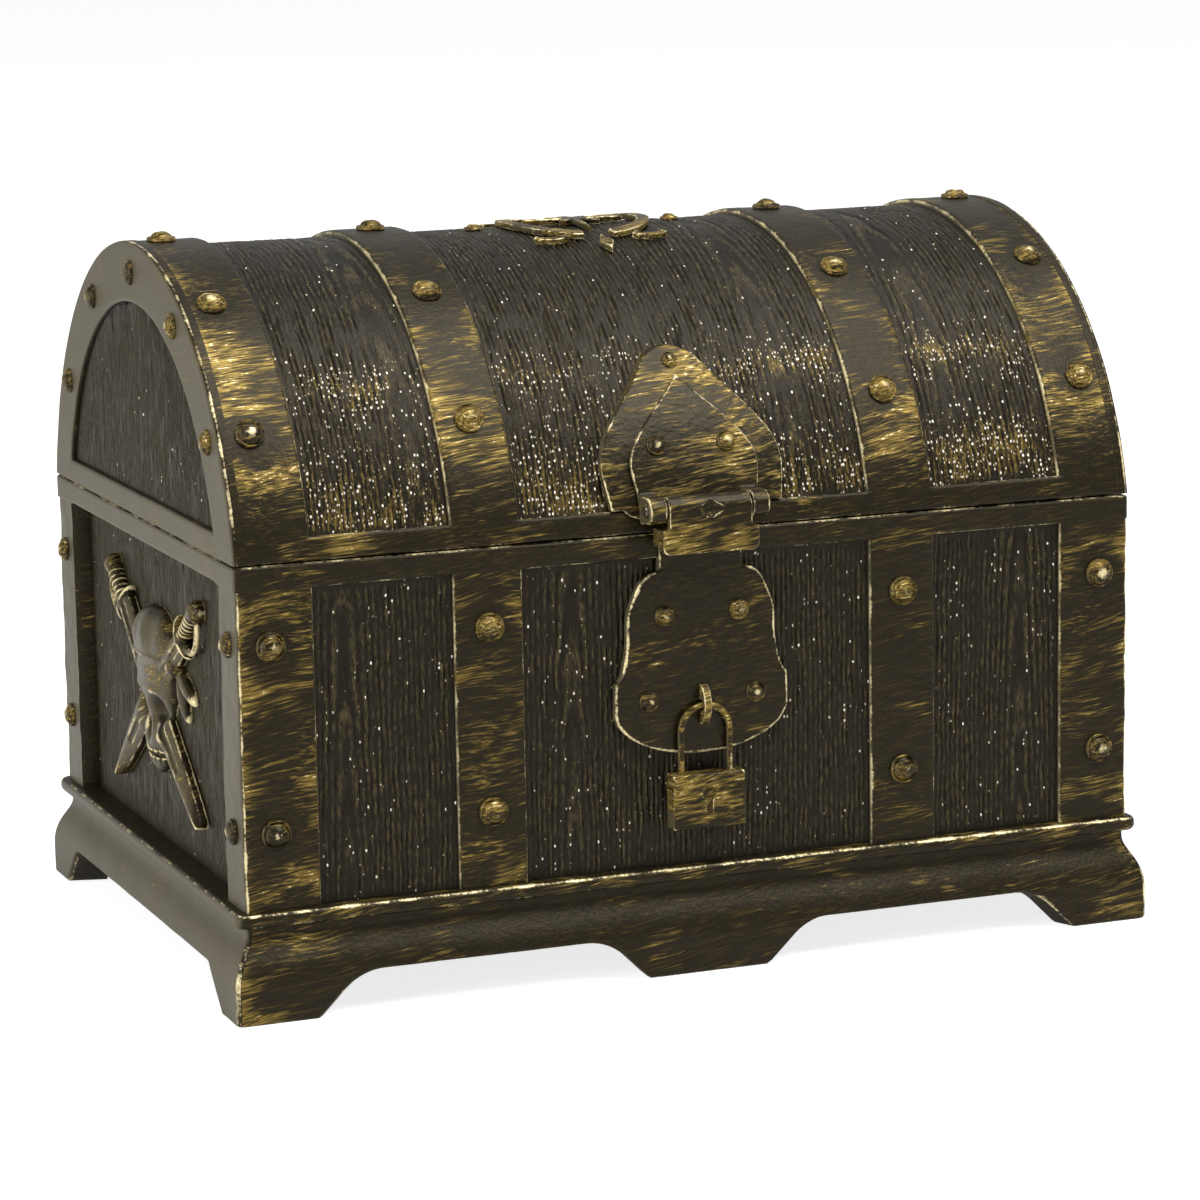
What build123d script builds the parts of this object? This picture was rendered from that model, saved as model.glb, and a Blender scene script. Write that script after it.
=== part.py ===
from build123d import *
from math import cos, radians, sin, sqrt
import os

# A small treasure chest of moulded plastic: a box on a plinth with feet, a barrel lid on two hinges
# at the back, flat straps with dome studs over grained plank panels, and a hasp over a bell-shaped
# lock plate with a hanging padlock. The body is drawn about its own middle, X along the front,
# Y towards the back, Z up from the floor, and moved at the end so that the whole chest is centred.

# Body, lid and seam
body_length = 150.0
body_depth = 104.8
seam_height = 70.0
seam_gap = 0.3
lid_rise = 44.0
corner_radius = 0.8
tub_wall = 2.0
tub_floor = 2.0
tub_underside = 8.3
lid_wall = 2.0
overrun = 5.0

# Frame work: straps, posts and rails stand out from the tub by the frame thickness
front_frame_thickness = 2.0
end_frame_thickness = 4.2
panel_thickness = 1.0
post_width_front = 12.3
post_width_end = 10.0
strap_inner_edge = 29.2
strap_width = 11.1
rim_rail_height = 3.75
lid_rail_height = 3.65

# Lid ends
lid_end_frame_thickness = 2.0
arch_width = 9.7
arch_edge_round = 0.6

# Lip and plinth
lip_top = 17.0
lip_height = 2.3
lip_overhang = 1.4
lip_nose_radius = 0.9
plinth_neck_inset = 0.4
plinth_neck_height = 13.5
plinth_belly = 1.05
plinth_belly_height = 10.2
plinth_flare = 2.4
plinth_flare_top = 5.5
plinth_foot_round = 0.5
skirt_height = 6.7
front_corner_foot = 12.8
end_corner_foot = 8.3
foot_slope_run = 6.9
centre_foot_half_width = 10.2
front_skirt_round = 9.0
end_skirt_round = 2.5
foot_corner_radius = 1.2

# Studs and rivets
stud_radius = 2.3
stud_height = 1.5
end_stud_radius = 2.0
end_stud_height = 1.3
ridge_stud_radius = 1.5
ridge_stud_height = 1.0
ridge_stud_spacing = 34.4
rivet_radius = 1.6
rivet_height = 1.1
top_stud_radius = 1.35
top_stud_height = 0.9
leaf_rivet_radius = 1.1
leaf_rivet_height = 0.6
upper_stud_drop = 8.5
lower_stud_rise = 11.8
end_stud_inset = 4.65
lid_stud_turns = (31.8, 59.3, 90.0, 120.7, 148.2)
arch_stud_turns = (33.2, 61.0, 90.0, 119.0, 146.8)

# Lock plate, staple and padlock
lock_plate_thickness = 1.6
lock_neck_half_width = 7.0
lock_shoulder_height = 64.0
lock_half_width = 14.6
lock_bottom = 34.8
lock_side_shares = ((0.75, 0.90), (0.855, 0.74), (0.865, 0.585), (0.96, 0.42), (1.0, 0.25))
upper_rivet_offset = 6.25
upper_rivet_height = 57.1
lower_rivet_offset = 9.0
lower_rivet_height = 43.8
nub_half_width = 4.0
nub_bottom = 67.4
nub_top = 69.6
nub_slope = 1.2
wire_radius = 0.55
shackle_half_width = 4.1
shackle_top = 42.65
shackle_clearance = 0.3
shackle_seat_depth = 2.0
staple_thickness = 1.3
staple_height = 6.5
staple_wall = 0.7
padlock_width = 12.2
padlock_thickness = 3.2
padlock_height = 8.8
padlock_top = 32.1
padlock_edge = 0.4
keyhole_radius = 1.1
keyhole_slot_width = 1.0
keyhole_slot_length = 3.2
keyhole_depth = 0.8

# Hasp on the lid
back_plate_rise = 0.5
back_plate_half_width = 15.1
back_plate_widest = 80.5
back_plate_foot_half_width = 14.3
back_plate_crown_half_width = 4.5
back_plate_crown_height = 95.6
back_plate_top = 97.3
back_plate_tab_half_width = 12.2
back_plate_tab_bottom = 71.2
back_plate_slopes = ((0.15, 1), (-0.75, 1))
hasp_plate_rise = 0.9
hasp_plate_half_width = 10.6
hasp_plate_widest = 80.2
hasp_plate_top = 93.3
hasp_plate_foot_half_width = 9.9
hasp_plate_bottom = 71.6
hasp_plate_slopes = ((0, 1), (-0.9, 1))
hasp_rivet_offset = 5.85
hasp_rivet_height = 83.2
top_stud_place = 95.2
hasp_axis_height = 74.0
hasp_barrel_radius = 2.1
hasp_barrel_gap = 0.3
hasp_barrel_half_length = 6.9
hasp_knuckle_gap = 0.3
hasp_knuckle_end = 10.0
hasp_flap_half_width = 8.0
hasp_flap_bottom = 67.2
hasp_flap_thickness = 1.4
hasp_cheek_thickness = 1.1
hasp_cheek_top = 71.0
hasp_cheek_gap = 0.3
hasp_flap_corner = 1.0

# Hinges at the back, one on each strap
hinge_width = 10.0
hinge_knuckle_radius = 2.0
hinge_knuckle_length = 2.9
hinge_knuckle_gap = 0.3
hinge_lid_gap = 0.15
hinge_leaf_thickness = 1.0
hinge_leaf_height = 8.5
hinge_pin_radius = 0.8
pin_clearance = 0.05
pin_end = 0.3
leaf_notch_gap = 0.3
leaf_rivet_spacing = 5.2

# Emblem on top of the lid: a compass star in a wreath
emblem_thickness = 1.1
wreath_radius = 11.6
wreath_width = 2.2
wreath_gap_turn = 24.0
star_rays = 8
star_long_ray = 9.6
star_short_ray = 5.4
star_waist = 1.9
leaf_drop_length = 5.4
leaf_drop_half_width = 1.3
leaf_drop_gap = 1.2
crescent_radius = 4.2
crescent_width = 1.1
crescent_half_turn = 42.0
crescent_offset_along = 8.5
crescent_offset_across = 13.6

# Relief on the ends: a skull in a head scarf over crossed cutlasses
relief_height = 41.0
relief_tilt = 36.0
cutlass_length = 59.5
cutlass_thickness = 2.6
blade_width = 4.8
blade_bow = 4.0
grip_length = 9.0
grip_width = 2.4
guard_width = 8.0
guard_thickness = 1.8
pommel_radius = 1.8
skull_half_width = 9.8
skull_half_height = 9.8
skull_thickness = 3.3
skull_rise = 3.4
skull_round = 1.4
jaw_half_width = 5.6
jaw_drop = 16.6
jaw_thickness = 2.8
jaw_round = 1.6
jaw_edge_round = 0.6
eye_radius = 2.3
eye_spacing = 8.0
eye_drop = 1.6
nose_half_width = 1.1
nose_height = 2.4
socket_depth = 1.2
scarf_half_width = 10.4
scarf_thickness = 3.9
scarf_edge = 6.6
scarf_top = 14.8
scarf_round = 1.6
knot_radius = 2.2
tail_length = 8.5
tail_width = 2.6
tail_turns = (-28.0, -62.0)

half_length = body_length / 2
half_depth = body_depth / 2
lid_radius = (half_depth**2 + lid_rise**2) / (2 * lid_rise)
lid_centre_height = seam_height + lid_rise - lid_radius
tub_half_length = half_length - end_frame_thickness
tub_half_depth = half_depth - front_frame_thickness
tub_top = seam_height - seam_gap / 2
lid_bottom = seam_height + seam_gap / 2
rim_bottom = tub_top - rim_rail_height
lid_rail_top = lid_bottom + lid_rail_height
stud_heights = (lip_top + lower_stud_rise, rim_bottom - upper_stud_drop)
post_inner_edge = half_length - post_width_front
end_panel_half_width = half_depth - post_width_end
strap_outer_edge = strap_inner_edge + strap_width
strap_middle = strap_inner_edge + strap_width / 2
panel_face = tub_half_depth + panel_thickness
lip_bottom = lip_top - lip_height
lid_half_length = half_length - lid_end_frame_thickness
lock_face = panel_face + lock_plate_thickness
panel_sink = front_frame_thickness - panel_thickness
hasp_face_rise = back_plate_rise + hasp_plate_rise
hasp_axis_radius = lid_radius + hasp_face_rise + hasp_barrel_gap + hasp_barrel_radius
hasp_axis_reach = sqrt(hasp_axis_radius**2 - (hasp_axis_height - lid_centre_height) ** 2)
front_reach = hasp_axis_reach + hasp_barrel_radius
hinge_axis_reach = half_depth + hinge_lid_gap + hinge_knuckle_radius
back_reach = hinge_axis_reach + hinge_knuckle_radius
shackle_reach = lock_face + shackle_clearance + wire_radius
to_centre = Pos(0, (front_reach - back_reach) / 2, 0)


def write(shape, node):
    """Moves a piece from the body's middle to the whole chest's middle and writes it."""
    export_step(to_centre * shape, f"parts/{node}.step")


def block(x, y, z):
    """A box between two values along each axis."""
    corner = Pos(min(x), min(y), min(z))
    size = (max(x) - min(x), max(y) - min(y), max(z) - min(z))
    return corner * Box(*size, align=(Align.MIN, Align.MIN, Align.MIN))


def on_right(shape):
    return mirror(shape, about=Plane.YZ)


def at_back(shape):
    return mirror(shape, about=Plane.XZ)


def dome(radius, height):
    """A shallow ball segment that stands on the XY plane."""
    ball = (radius**2 + height**2) / (2 * height)
    return split(Pos(0, 0, height - ball) * Sphere(ball), bisect_by=Plane.XY, keep=Keep.TOP)


def front_plane(x, y_reach, z):
    """A plane on the front that faces the viewer, with X to the right and Z up."""
    return Plane(origin=(x, -y_reach, z), x_dir=(1, 0, 0), z_dir=(0, -1, 0))


def front_prism(outline, near, far):
    """An outline seen from the front, given depth from one reach to another."""
    return extrude(front_plane(0, near, 0) * outline, amount=far - near)


def barrel_section(inner_rise, outer_rise):
    """The arched band of the lid, seen from the end, between two rises over the straps' surface."""
    ring = Circle(lid_radius + outer_rise) - Circle(lid_radius + inner_rise)
    return Pos(0, lid_centre_height) * ring


def barrel_layer(inner_rise, outer_rise, x, bottom):
    """A layer of the lid's barrel between two places along X, above a height."""
    band = barrel_section(inner_rise, outer_rise)
    room = Rectangle(
        body_depth + overrun, lid_rise + overrun, align=(Align.CENTER, Align.MIN)
    )
    face = band & (Pos(0, bottom) * room)
    return extrude(Plane.YZ.offset(min(x)) * face, amount=max(x) - min(x))


def barrel_plane(x, turn, rise):
    """A plane that touches the barrel at a turn about its axis from the front, facing outwards."""
    y = -(lid_radius + rise) * cos(radians(turn))
    z = (lid_radius + rise) * sin(radians(turn))
    return Plane(origin=(x, y, lid_centre_height + z), x_dir=(1, 0, 0), z_dir=(0, y, z))


def barrel_turn(height, rise):
    """The turn about the barrel's axis at which the barrel has a height."""
    share = (height - lid_centre_height) / (lid_radius + rise)
    return Vector(sqrt(1 - share**2), share).get_angle(Vector(1, 0))


def plan_ring(length, depth, radius):
    """A rounded rectangle seen from above, less the tub."""
    outer = RectangleRounded(length, depth, radius)
    return outer - Rectangle(2 * tub_half_length, 2 * tub_half_depth)


def tub():
    outer = block(
        (-tub_half_length, tub_half_length), (-tub_half_depth, tub_half_depth), (tub_underside, tub_top)
    )
    inner_length = tub_half_length - tub_wall
    inner_depth = tub_half_depth - tub_wall
    floor_top = tub_underside + tub_floor
    hollow = block(
        (-inner_length, inner_length), (-inner_depth, inner_depth), (floor_top, tub_top + overrun)
    )
    return outer - hollow


def front_panel(x):
    return block(x, (-tub_half_depth, -panel_face), (lip_top, rim_bottom))


def left_end_panel():
    face = tub_half_length + panel_thickness
    y = (-end_panel_half_width, end_panel_half_width)
    return block((-tub_half_length, -face), y, (lip_top, rim_bottom))


def front_left_post():
    """An L-shaped post with a rounded outer corner."""
    ring = plan_ring(body_length, body_depth, corner_radius)
    front_leg = Pos(-post_inner_edge, -tub_half_depth) * Rectangle(
        body_length, body_depth, align=(Align.MAX, Align.MAX)
    )
    end_leg = Pos(-tub_half_length, -end_panel_half_width) * Rectangle(
        body_length, body_depth, align=(Align.MAX, Align.MAX)
    )
    return extrude(Pos(0, 0, lip_top) * (ring & (front_leg + end_leg)), amount=rim_bottom - lip_top)


def front_left_strap():
    x = (-strap_outer_edge, -strap_inner_edge)
    return block(x, (-tub_half_depth, -half_depth), (lip_top, rim_bottom))


def rim_rail():
    ring = plan_ring(body_length, body_depth, corner_radius)
    return extrude(Pos(0, 0, rim_bottom) * ring, amount=rim_rail_height)


def lip_moulding():
    radius = corner_radius + lip_overhang
    ring = plan_ring(body_length + 2 * lip_overhang, body_depth + 2 * lip_overhang, radius)
    lip = extrude(Pos(0, 0, lip_bottom) * ring, amount=lip_height)
    top = lip.faces().sort_by(Axis.Z)[-1].outer_wire().edges()
    under = lip.faces().sort_by(Axis.Z)[0].outer_wire().edges()
    return fillet(top + under, lip_nose_radius)


def plinth_profile(reach):
    """Half of the plinth's section, from the middle out to the moulded face."""
    neck_reach = reach - plinth_neck_inset
    face_reach = reach + plinth_flare
    neck = (neck_reach, plinth_neck_height)
    belly = (reach + plinth_belly, plinth_belly_height)
    flare = (face_reach, plinth_flare_top)
    foot = (face_reach, plinth_foot_round)
    sole = (face_reach - plinth_foot_round, 0)
    outline = [
        Line((0, lip_bottom), (neck_reach, lip_bottom)),
        Line((neck_reach, lip_bottom), neck),
        Spline(neck, belly, flare, tangents=[(0, -1), (0, -1)]),
        Line(flare, foot),
        TangentArc(foot, sole, tangent=(0, -1)),
        Line(sole, (0, 0)),
        Line((0, 0), (0, lip_bottom)),
    ]
    return make_face(Curve() + outline)


def skirt(points, foot_edges, arch_round):
    """A board's outline with its feet, its corners rounded, seen square on."""
    outline = make_face(Polyline(*points, close=True))
    arch_corners = [v for v in outline.vertices() if abs(v.Y - skirt_height) < foot_corner_radius]
    outline = fillet(arch_corners, arch_round)
    foot_corners = [
        v
        for v in outline.vertices()
        if abs(v.Y) < foot_corner_radius and abs(v.X) <= foot_edges
    ]
    return fillet(foot_corners, foot_corner_radius)


def front_skirt():
    far = half_length + overrun
    foot = half_length + plinth_flare - front_corner_foot
    right_half = [
        (centre_foot_half_width, 0),
        (centre_foot_half_width + foot_slope_run, skirt_height),
        (foot - foot_slope_run, skirt_height),
        (foot, 0),
        (far, 0),
        (far, lip_bottom),
    ]
    left_half = [(-x, z) for x, z in reversed(right_half)]
    return skirt(right_half + left_half, foot, front_skirt_round)


def end_skirt():
    far = half_depth + overrun
    foot = half_depth + plinth_flare - end_corner_foot
    right_half = [(foot - foot_slope_run, skirt_height), (foot, 0), (far, 0), (far, lip_bottom)]
    left_half = [(-y, z) for y, z in reversed(right_half)]
    return skirt(right_half + left_half, foot, end_skirt_round)


def mitre_plan(for_front):
    """The share of the plinth that one board takes, seen from above."""
    meet = tub_half_depth + half_length - half_depth
    far_x = half_length + overrun
    far_y = half_depth + overrun
    if for_front:
        points = [(-meet, -tub_half_depth), (meet, -tub_half_depth), (far_x, -far_y), (-far_x, -far_y)]
    else:
        near = [(-tub_half_length, -tub_half_depth), (-meet, -tub_half_depth), (-far_x, -far_y)]
        points = near + [(x, -y) for x, y in reversed(near)]
    return extrude(make_face(Polyline(*points, close=True)), amount=lip_bottom)


def plinth_board(for_front):
    """A moulded board with its feet, mitred at both ends."""
    if for_front:
        section = Plane.YZ * plinth_profile(half_depth)
        moulding = at_back(extrude(section, amount=half_length + overrun, both=True))
        feet = extrude(Plane.XZ * front_skirt(), amount=body_depth, both=True)
    else:
        section = Plane.XZ * plinth_profile(half_length)
        moulding = on_right(extrude(section, amount=half_depth + overrun, both=True))
        feet = extrude(Plane.YZ * end_skirt(), amount=body_length, both=True)
    return moulding & mitre_plan(for_front) & feet


def body_studs():
    """Studs on the front and back posts and straps, and on the end posts."""
    studs = []
    post_middle = half_length - post_width_front / 2 + stud_height / 2
    for x in (-post_middle, -strap_middle, strap_middle, post_middle):
        for z in stud_heights:
            stud = front_plane(x, half_depth, z) * dome(stud_radius, stud_height)
            studs += [stud, at_back(stud)]
    for y in (end_stud_inset - half_depth, half_depth - end_stud_inset):
        for z in stud_heights:
            place = Plane(origin=(-half_length, y, z), z_dir=(-1, 0, 0))
            stud = place * dome(end_stud_radius, end_stud_height)
            studs += [stud, on_right(stud)]
    return Compound(studs)


def lock_outline():
    """The bell-shaped plate, seen from the front, without its neck."""
    height = lock_shoulder_height - lock_bottom
    side = [(lock_half_width * across, lock_bottom + height * up) for across, up in lock_side_shares]
    start = (lock_neck_half_width, lock_shoulder_height)
    right = Spline(start, *side, tangents=[(1, 0), (0, -1)])
    reach, widest = side[-1]
    bottom = EllipticalCenterArc((0, widest), reach, widest - lock_bottom, 180, arc_size=180)
    top = Line((-lock_neck_half_width, lock_shoulder_height), start)
    return make_face(Curve() + [right, mirror(right, about=Plane.YZ), bottom, top])


def lock_plate():
    """The plate on the middle panel, its neck up over the rim rail, and the catch nub."""
    neck = (-lock_neck_half_width, lock_neck_half_width)
    plate = front_prism(lock_outline(), panel_face, lock_face)
    plate += block(neck, (-panel_face, -lock_face), (lock_shoulder_height, rim_bottom))
    plate += block(neck, (-half_depth, -lock_face), (rim_bottom, nub_top))
    nub_face = hasp_axis_reach + hasp_barrel_radius - hasp_flap_thickness - hasp_cheek_gap
    nub = block((-nub_half_width, nub_half_width), (-lock_face, -nub_face), (nub_bottom, nub_top))
    lower_edge = nub.edges().filter_by(Axis.X).group_by(Axis.Y)[0].sort_by(Axis.Z)[0]
    return plate + chamfer(lower_edge, nub_slope)


def lock_plate_rivets():
    places = [(upper_rivet_offset, upper_rivet_height), (lower_rivet_offset, lower_rivet_height)]
    rivets = []
    for x, z in places:
        for side in (-x, x):
            rivets.append(front_plane(side, lock_face, z) * dome(rivet_radius, rivet_height))
    return Compound(rivets)


def lock_staple():
    """A flat loop that stands out of the plate; the shackle passes through its eye."""
    eye = wire_radius + shackle_clearance
    outer_reach = shackle_reach + eye + staple_wall
    bow = Ellipse(outer_reach - lock_face, staple_height / 2)
    bow = Pos(-lock_face, shackle_top) * bow
    keep = Pos(-lock_face, shackle_top) * Rectangle(
        outer_reach, staple_height, align=(Align.MAX, Align.CENTER)
    )
    hole = Pos(-shackle_reach, shackle_top) * Circle(eye)
    throat = Pos(-shackle_reach, shackle_top) * Rectangle(
        shackle_reach, 2 * eye, align=(Align.MIN, Align.CENTER)
    )
    face = (bow & keep) - hole - throat
    half = staple_thickness / 2
    return extrude(Plane.YZ.offset(-half) * face, amount=staple_thickness)


def padlock_shackle():
    """A wire bow with straight legs that go down into the padlock's body."""
    centre = shackle_top - shackle_half_width
    end = padlock_top - shackle_seat_depth
    left_leg = Line((-shackle_half_width, end), (-shackle_half_width, centre))
    bow = ThreePointArc(
        (-shackle_half_width, centre), (0, shackle_top), (shackle_half_width, centre)
    )
    right_leg = Line((shackle_half_width, centre), (shackle_half_width, end))
    path = front_plane(0, shackle_reach, 0) * (Curve() + [left_leg, bow, right_leg])
    start = Plane(origin=(-shackle_half_width, -shackle_reach, end), z_dir=(0, 0, 1))
    return sweep(start * Circle(wire_radius), path=path)


def padlock_body():
    half = padlock_width / 2
    near = shackle_reach - padlock_thickness / 2
    far = shackle_reach + padlock_thickness / 2
    body = block((-half, half), (-near, -far), (padlock_top - padlock_height, padlock_top))
    body = fillet(body.edges(), padlock_edge)
    middle = padlock_top - padlock_height / 2
    eye = Pos(0, middle + keyhole_radius) * Circle(keyhole_radius)
    slot = Pos(0, middle + keyhole_radius) * Rectangle(
        keyhole_slot_width, keyhole_slot_length, align=(Align.CENTER, Align.MAX)
    )
    keyhole = front_prism(eye + slot, far - keyhole_depth, far + overrun)
    return body - keyhole - padlock_shackle()


def hinge_cylinder(reach, height, radius, x):
    """A cylinder along X between two places, about an axis at a reach in Y."""
    circle = Plane.YZ.offset(min(x)) * Pos(reach, height) * Circle(radius)
    return extrude(circle, amount=max(x) - min(x))


def hinge_ranges(x):
    """Where the two outer knuckles and the middle one of a hinge lie along X."""
    outer = hinge_width / 2
    inner = outer - hinge_knuckle_length
    middle = inner - hinge_knuckle_gap
    return [(x - outer, x - inner), (x + inner, x + outer)], (x - middle, x + middle)


def hinge_bore(x):
    wide = (x - hinge_width, x + hinge_width)
    return hinge_cylinder(hinge_axis_reach, seam_height, hinge_pin_radius + pin_clearance, wide)


def box_hinge_leaf(x):
    """The leaf on the back strap with the two outer knuckles."""
    outer_ranges, middle = hinge_ranges(x)
    leaf_face = half_depth + hinge_leaf_thickness
    bottom = tub_top - hinge_leaf_height
    wide = (x - hinge_width / 2, x + hinge_width / 2)
    leaf = block(wide, (half_depth, leaf_face), (bottom, tub_top))
    notch_top = seam_height - hinge_knuckle_radius - leaf_notch_gap
    notch = (middle[0] - hinge_knuckle_gap, middle[1] + hinge_knuckle_gap)
    leaf -= block(notch, (half_depth, leaf_face), (notch_top, tub_top))
    for span in outer_ranges:
        leaf += hinge_cylinder(hinge_axis_reach, seam_height, hinge_knuckle_radius, span)
        near = half_depth + hinge_lid_gap
        leaf += block(span, (near, hinge_axis_reach), (seam_height - hinge_knuckle_radius, seam_height))
    return leaf - hinge_bore(x)


def lid_hinge_leaf(x):
    """The leaf on the lid, curved as the barrel is, with the middle knuckle."""
    middle = hinge_ranges(x)[1]
    wide = (x - hinge_width / 2, x + hinge_width / 2)
    leaf = barrel_layer(0, hinge_leaf_thickness, wide, seam_height + hinge_knuckle_radius + leaf_notch_gap)
    leaf += barrel_layer(0, hinge_leaf_thickness, middle, lid_bottom)
    room = block(wide, (0, body_depth), (lid_bottom, lid_bottom + hinge_leaf_height))
    leaf = leaf & room
    leaf += hinge_cylinder(hinge_axis_reach, seam_height, hinge_knuckle_radius, middle)
    near = half_depth + hinge_lid_gap
    leaf += block(middle, (near, hinge_axis_reach), (seam_height, seam_height + hinge_knuckle_radius))
    return leaf - hinge_bore(x)


def hinge_pins():
    pins = []
    for x in (-strap_middle, strap_middle):
        end = hinge_width / 2 + pin_end
        pins.append(hinge_cylinder(hinge_axis_reach, seam_height, hinge_pin_radius, (x - end, x + end)))
    return Compound(pins)


def box_hinge_rivets():
    rivets = []
    height = tub_top - hinge_leaf_height * 2 / 3
    for x in (-strap_middle, strap_middle):
        for side in (-leaf_rivet_spacing / 2, leaf_rivet_spacing / 2):
            place = front_plane(x + side, half_depth + hinge_leaf_thickness, height)
            rivets.append(at_back(place * dome(leaf_rivet_radius, leaf_rivet_height)))
    return Compound(rivets)


def lid_hinge_rivets():
    rivets = []
    turn = barrel_turn(lid_bottom + hinge_leaf_height * 2 / 3, hinge_leaf_thickness)
    for x in (-strap_middle, strap_middle):
        for side in (-leaf_rivet_spacing / 2, leaf_rivet_spacing / 2):
            place = barrel_plane(x + side, turn, hinge_leaf_thickness)
            rivets.append(at_back(place * dome(leaf_rivet_radius, leaf_rivet_height)))
    return Compound(rivets)


def lid_shell():
    """Half a barrel with closed ends, open underneath."""
    x = (-lid_half_length, lid_half_length)
    outer_rise = -front_frame_thickness
    inner_rise = outer_rise - lid_wall
    shell = barrel_layer(inner_rise, outer_rise, x, lid_bottom)
    face = Pos(0, lid_centre_height) * Circle(lid_radius + inner_rise)
    room = Pos(0, lid_bottom) * Rectangle(body_depth, lid_rise, align=(Align.CENTER, Align.MIN))
    end = extrude(Plane.YZ.offset(-lid_half_length) * (face & room), amount=lid_wall)
    return shell + end + on_right(end)


def lid_rail_front():
    x = (-lid_half_length, lid_half_length)
    rail = barrel_layer(-front_frame_thickness, 0, x, lid_bottom)
    return rail & block(x, (-body_depth, 0), (lid_bottom, lid_rail_top))


def lid_strap(x):
    return barrel_layer(-front_frame_thickness, 0, x, lid_rail_top)


def lid_panel(x):
    return barrel_layer(-front_frame_thickness, -panel_sink, x, lid_rail_top)


def arch_opening():
    """The arched opening of the lid's end frame, seen from the end."""
    opening = Pos(0, lid_centre_height) * Circle(lid_radius - arch_width)
    room = Pos(0, lid_rail_top) * Rectangle(body_depth, lid_rise, align=(Align.CENTER, Align.MIN))
    return opening & room


def left_end_frame():
    """The arch over the lid's end with its rail, its outer edge rounded."""
    arch = Pos(0, lid_centre_height) * Circle(lid_radius)
    room = Pos(0, lid_bottom) * Rectangle(
        body_depth + overrun, lid_rise + overrun, align=(Align.CENTER, Align.MIN)
    )
    face = (arch & room) - arch_opening()
    frame = extrude(Plane.YZ.offset(-half_length) * face, amount=lid_end_frame_thickness)
    rim = frame.faces().sort_by(Axis.X)[0].outer_wire().edges().sort_by(Axis.Z)[1:]
    return fillet(rim, arch_edge_round)


def left_lid_end_panel():
    face = Plane.YZ.offset(-lid_half_length - panel_thickness) * arch_opening()
    return extrude(face, amount=panel_thickness)


def lid_studs():
    """Studs on the bands and straps, two on the ridge, and those on the arches."""
    studs = []
    band_middle = half_length - post_width_front / 2 + stud_height / 2
    for x in (-band_middle, -strap_middle, strap_middle, band_middle):
        for turn in lid_stud_turns:
            studs.append(barrel_plane(x, turn, 0) * dome(stud_radius, stud_height))
    for x in (-ridge_stud_spacing / 2, ridge_stud_spacing / 2):
        place = barrel_plane(x, lid_stud_turns[2], -panel_sink)
        studs.append(place * dome(ridge_stud_radius, ridge_stud_height))
    arch_middle = lid_radius - arch_width / 2
    for turn in arch_stud_turns:
        y = -arch_middle * cos(radians(turn))
        z = lid_centre_height + arch_middle * sin(radians(turn))
        place = Plane(origin=(-half_length, y, z), z_dir=(-1, 0, 0))
        stud = place * dome(end_stud_radius, end_stud_height)
        studs += [stud, on_right(stud)]
    return Compound(studs)


def on_barrel(outline, inner_rise, outer_rise):
    """An outline seen from the front, laid on the barrel as a curved plate."""
    x = (-half_length, half_length)
    layer = barrel_layer(inner_rise, outer_rise, x, lid_bottom)
    return layer & front_prism(outline, 0, body_depth)


def hasp_back_plate():
    """The shield with a crown at its top and a round tab over the rail below."""
    side = Spline(
        (back_plate_foot_half_width, lid_rail_top),
        (back_plate_half_width, back_plate_widest),
        (back_plate_crown_half_width, back_plate_crown_height),
        tangents=back_plate_slopes,
    )
    crown = ThreePointArc(
        (back_plate_crown_half_width, back_plate_crown_height),
        (0, back_plate_top),
        (-back_plate_crown_half_width, back_plate_crown_height),
    )
    base = Line(
        (-back_plate_foot_half_width, lid_rail_top), (back_plate_foot_half_width, lid_rail_top)
    )
    shield = make_face(Curve() + [side, crown, mirror(side, about=Plane.YZ), base])
    plate = on_barrel(shield, -panel_sink, back_plate_rise)
    tab = Pos(0, lid_rail_top) * Ellipse(
        back_plate_tab_half_width, lid_rail_top - back_plate_tab_bottom
    )
    below = Pos(0, lid_rail_top) * Rectangle(
        body_length, lid_rise, align=(Align.CENTER, Align.MAX)
    )
    return plate + on_barrel(tab & below, 0, back_plate_rise)


def hasp_plate():
    """The pointed plate that carries the flap, with a knuckle at each side."""
    side = Spline(
        (hasp_plate_foot_half_width, hasp_plate_bottom + hasp_barrel_radius),
        (hasp_plate_half_width, hasp_plate_widest),
        (0, hasp_plate_top),
        tangents=hasp_plate_slopes,
    )
    foot = [
        Line(
            (hasp_plate_foot_half_width, hasp_plate_bottom + hasp_barrel_radius),
            (hasp_plate_foot_half_width, hasp_plate_bottom),
        ),
        Line((hasp_plate_foot_half_width, hasp_plate_bottom), (0, hasp_plate_bottom)),
    ]
    right = Curve() + [side] + foot
    outline = make_face(Curve() + [right, mirror(right, about=Plane.YZ)])
    plate = on_barrel(outline, back_plate_rise, hasp_face_rise)
    x_range = (-half_length, half_length)
    spans = [
        (hasp_barrel_half_length + hasp_knuckle_gap, hasp_knuckle_end),
        (-hasp_knuckle_end, -hasp_barrel_half_length - hasp_knuckle_gap),
    ]
    under = hinge_cylinder(0, lid_centre_height, lid_radius + back_plate_rise, x_range)
    for span in spans:
        plate += hinge_cylinder(-hasp_axis_reach, hasp_axis_height, hasp_barrel_radius, span)
        web = (hasp_axis_height - hasp_barrel_radius, hasp_axis_height + hasp_barrel_radius)
        plate += block(span, (0, -hasp_axis_reach), web) - under
    return plate - hasp_bore()


def hasp_bore():
    wide = (-half_length, half_length)
    return hinge_cylinder(-hasp_axis_reach, hasp_axis_height, hinge_pin_radius + pin_clearance, wide)


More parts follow.
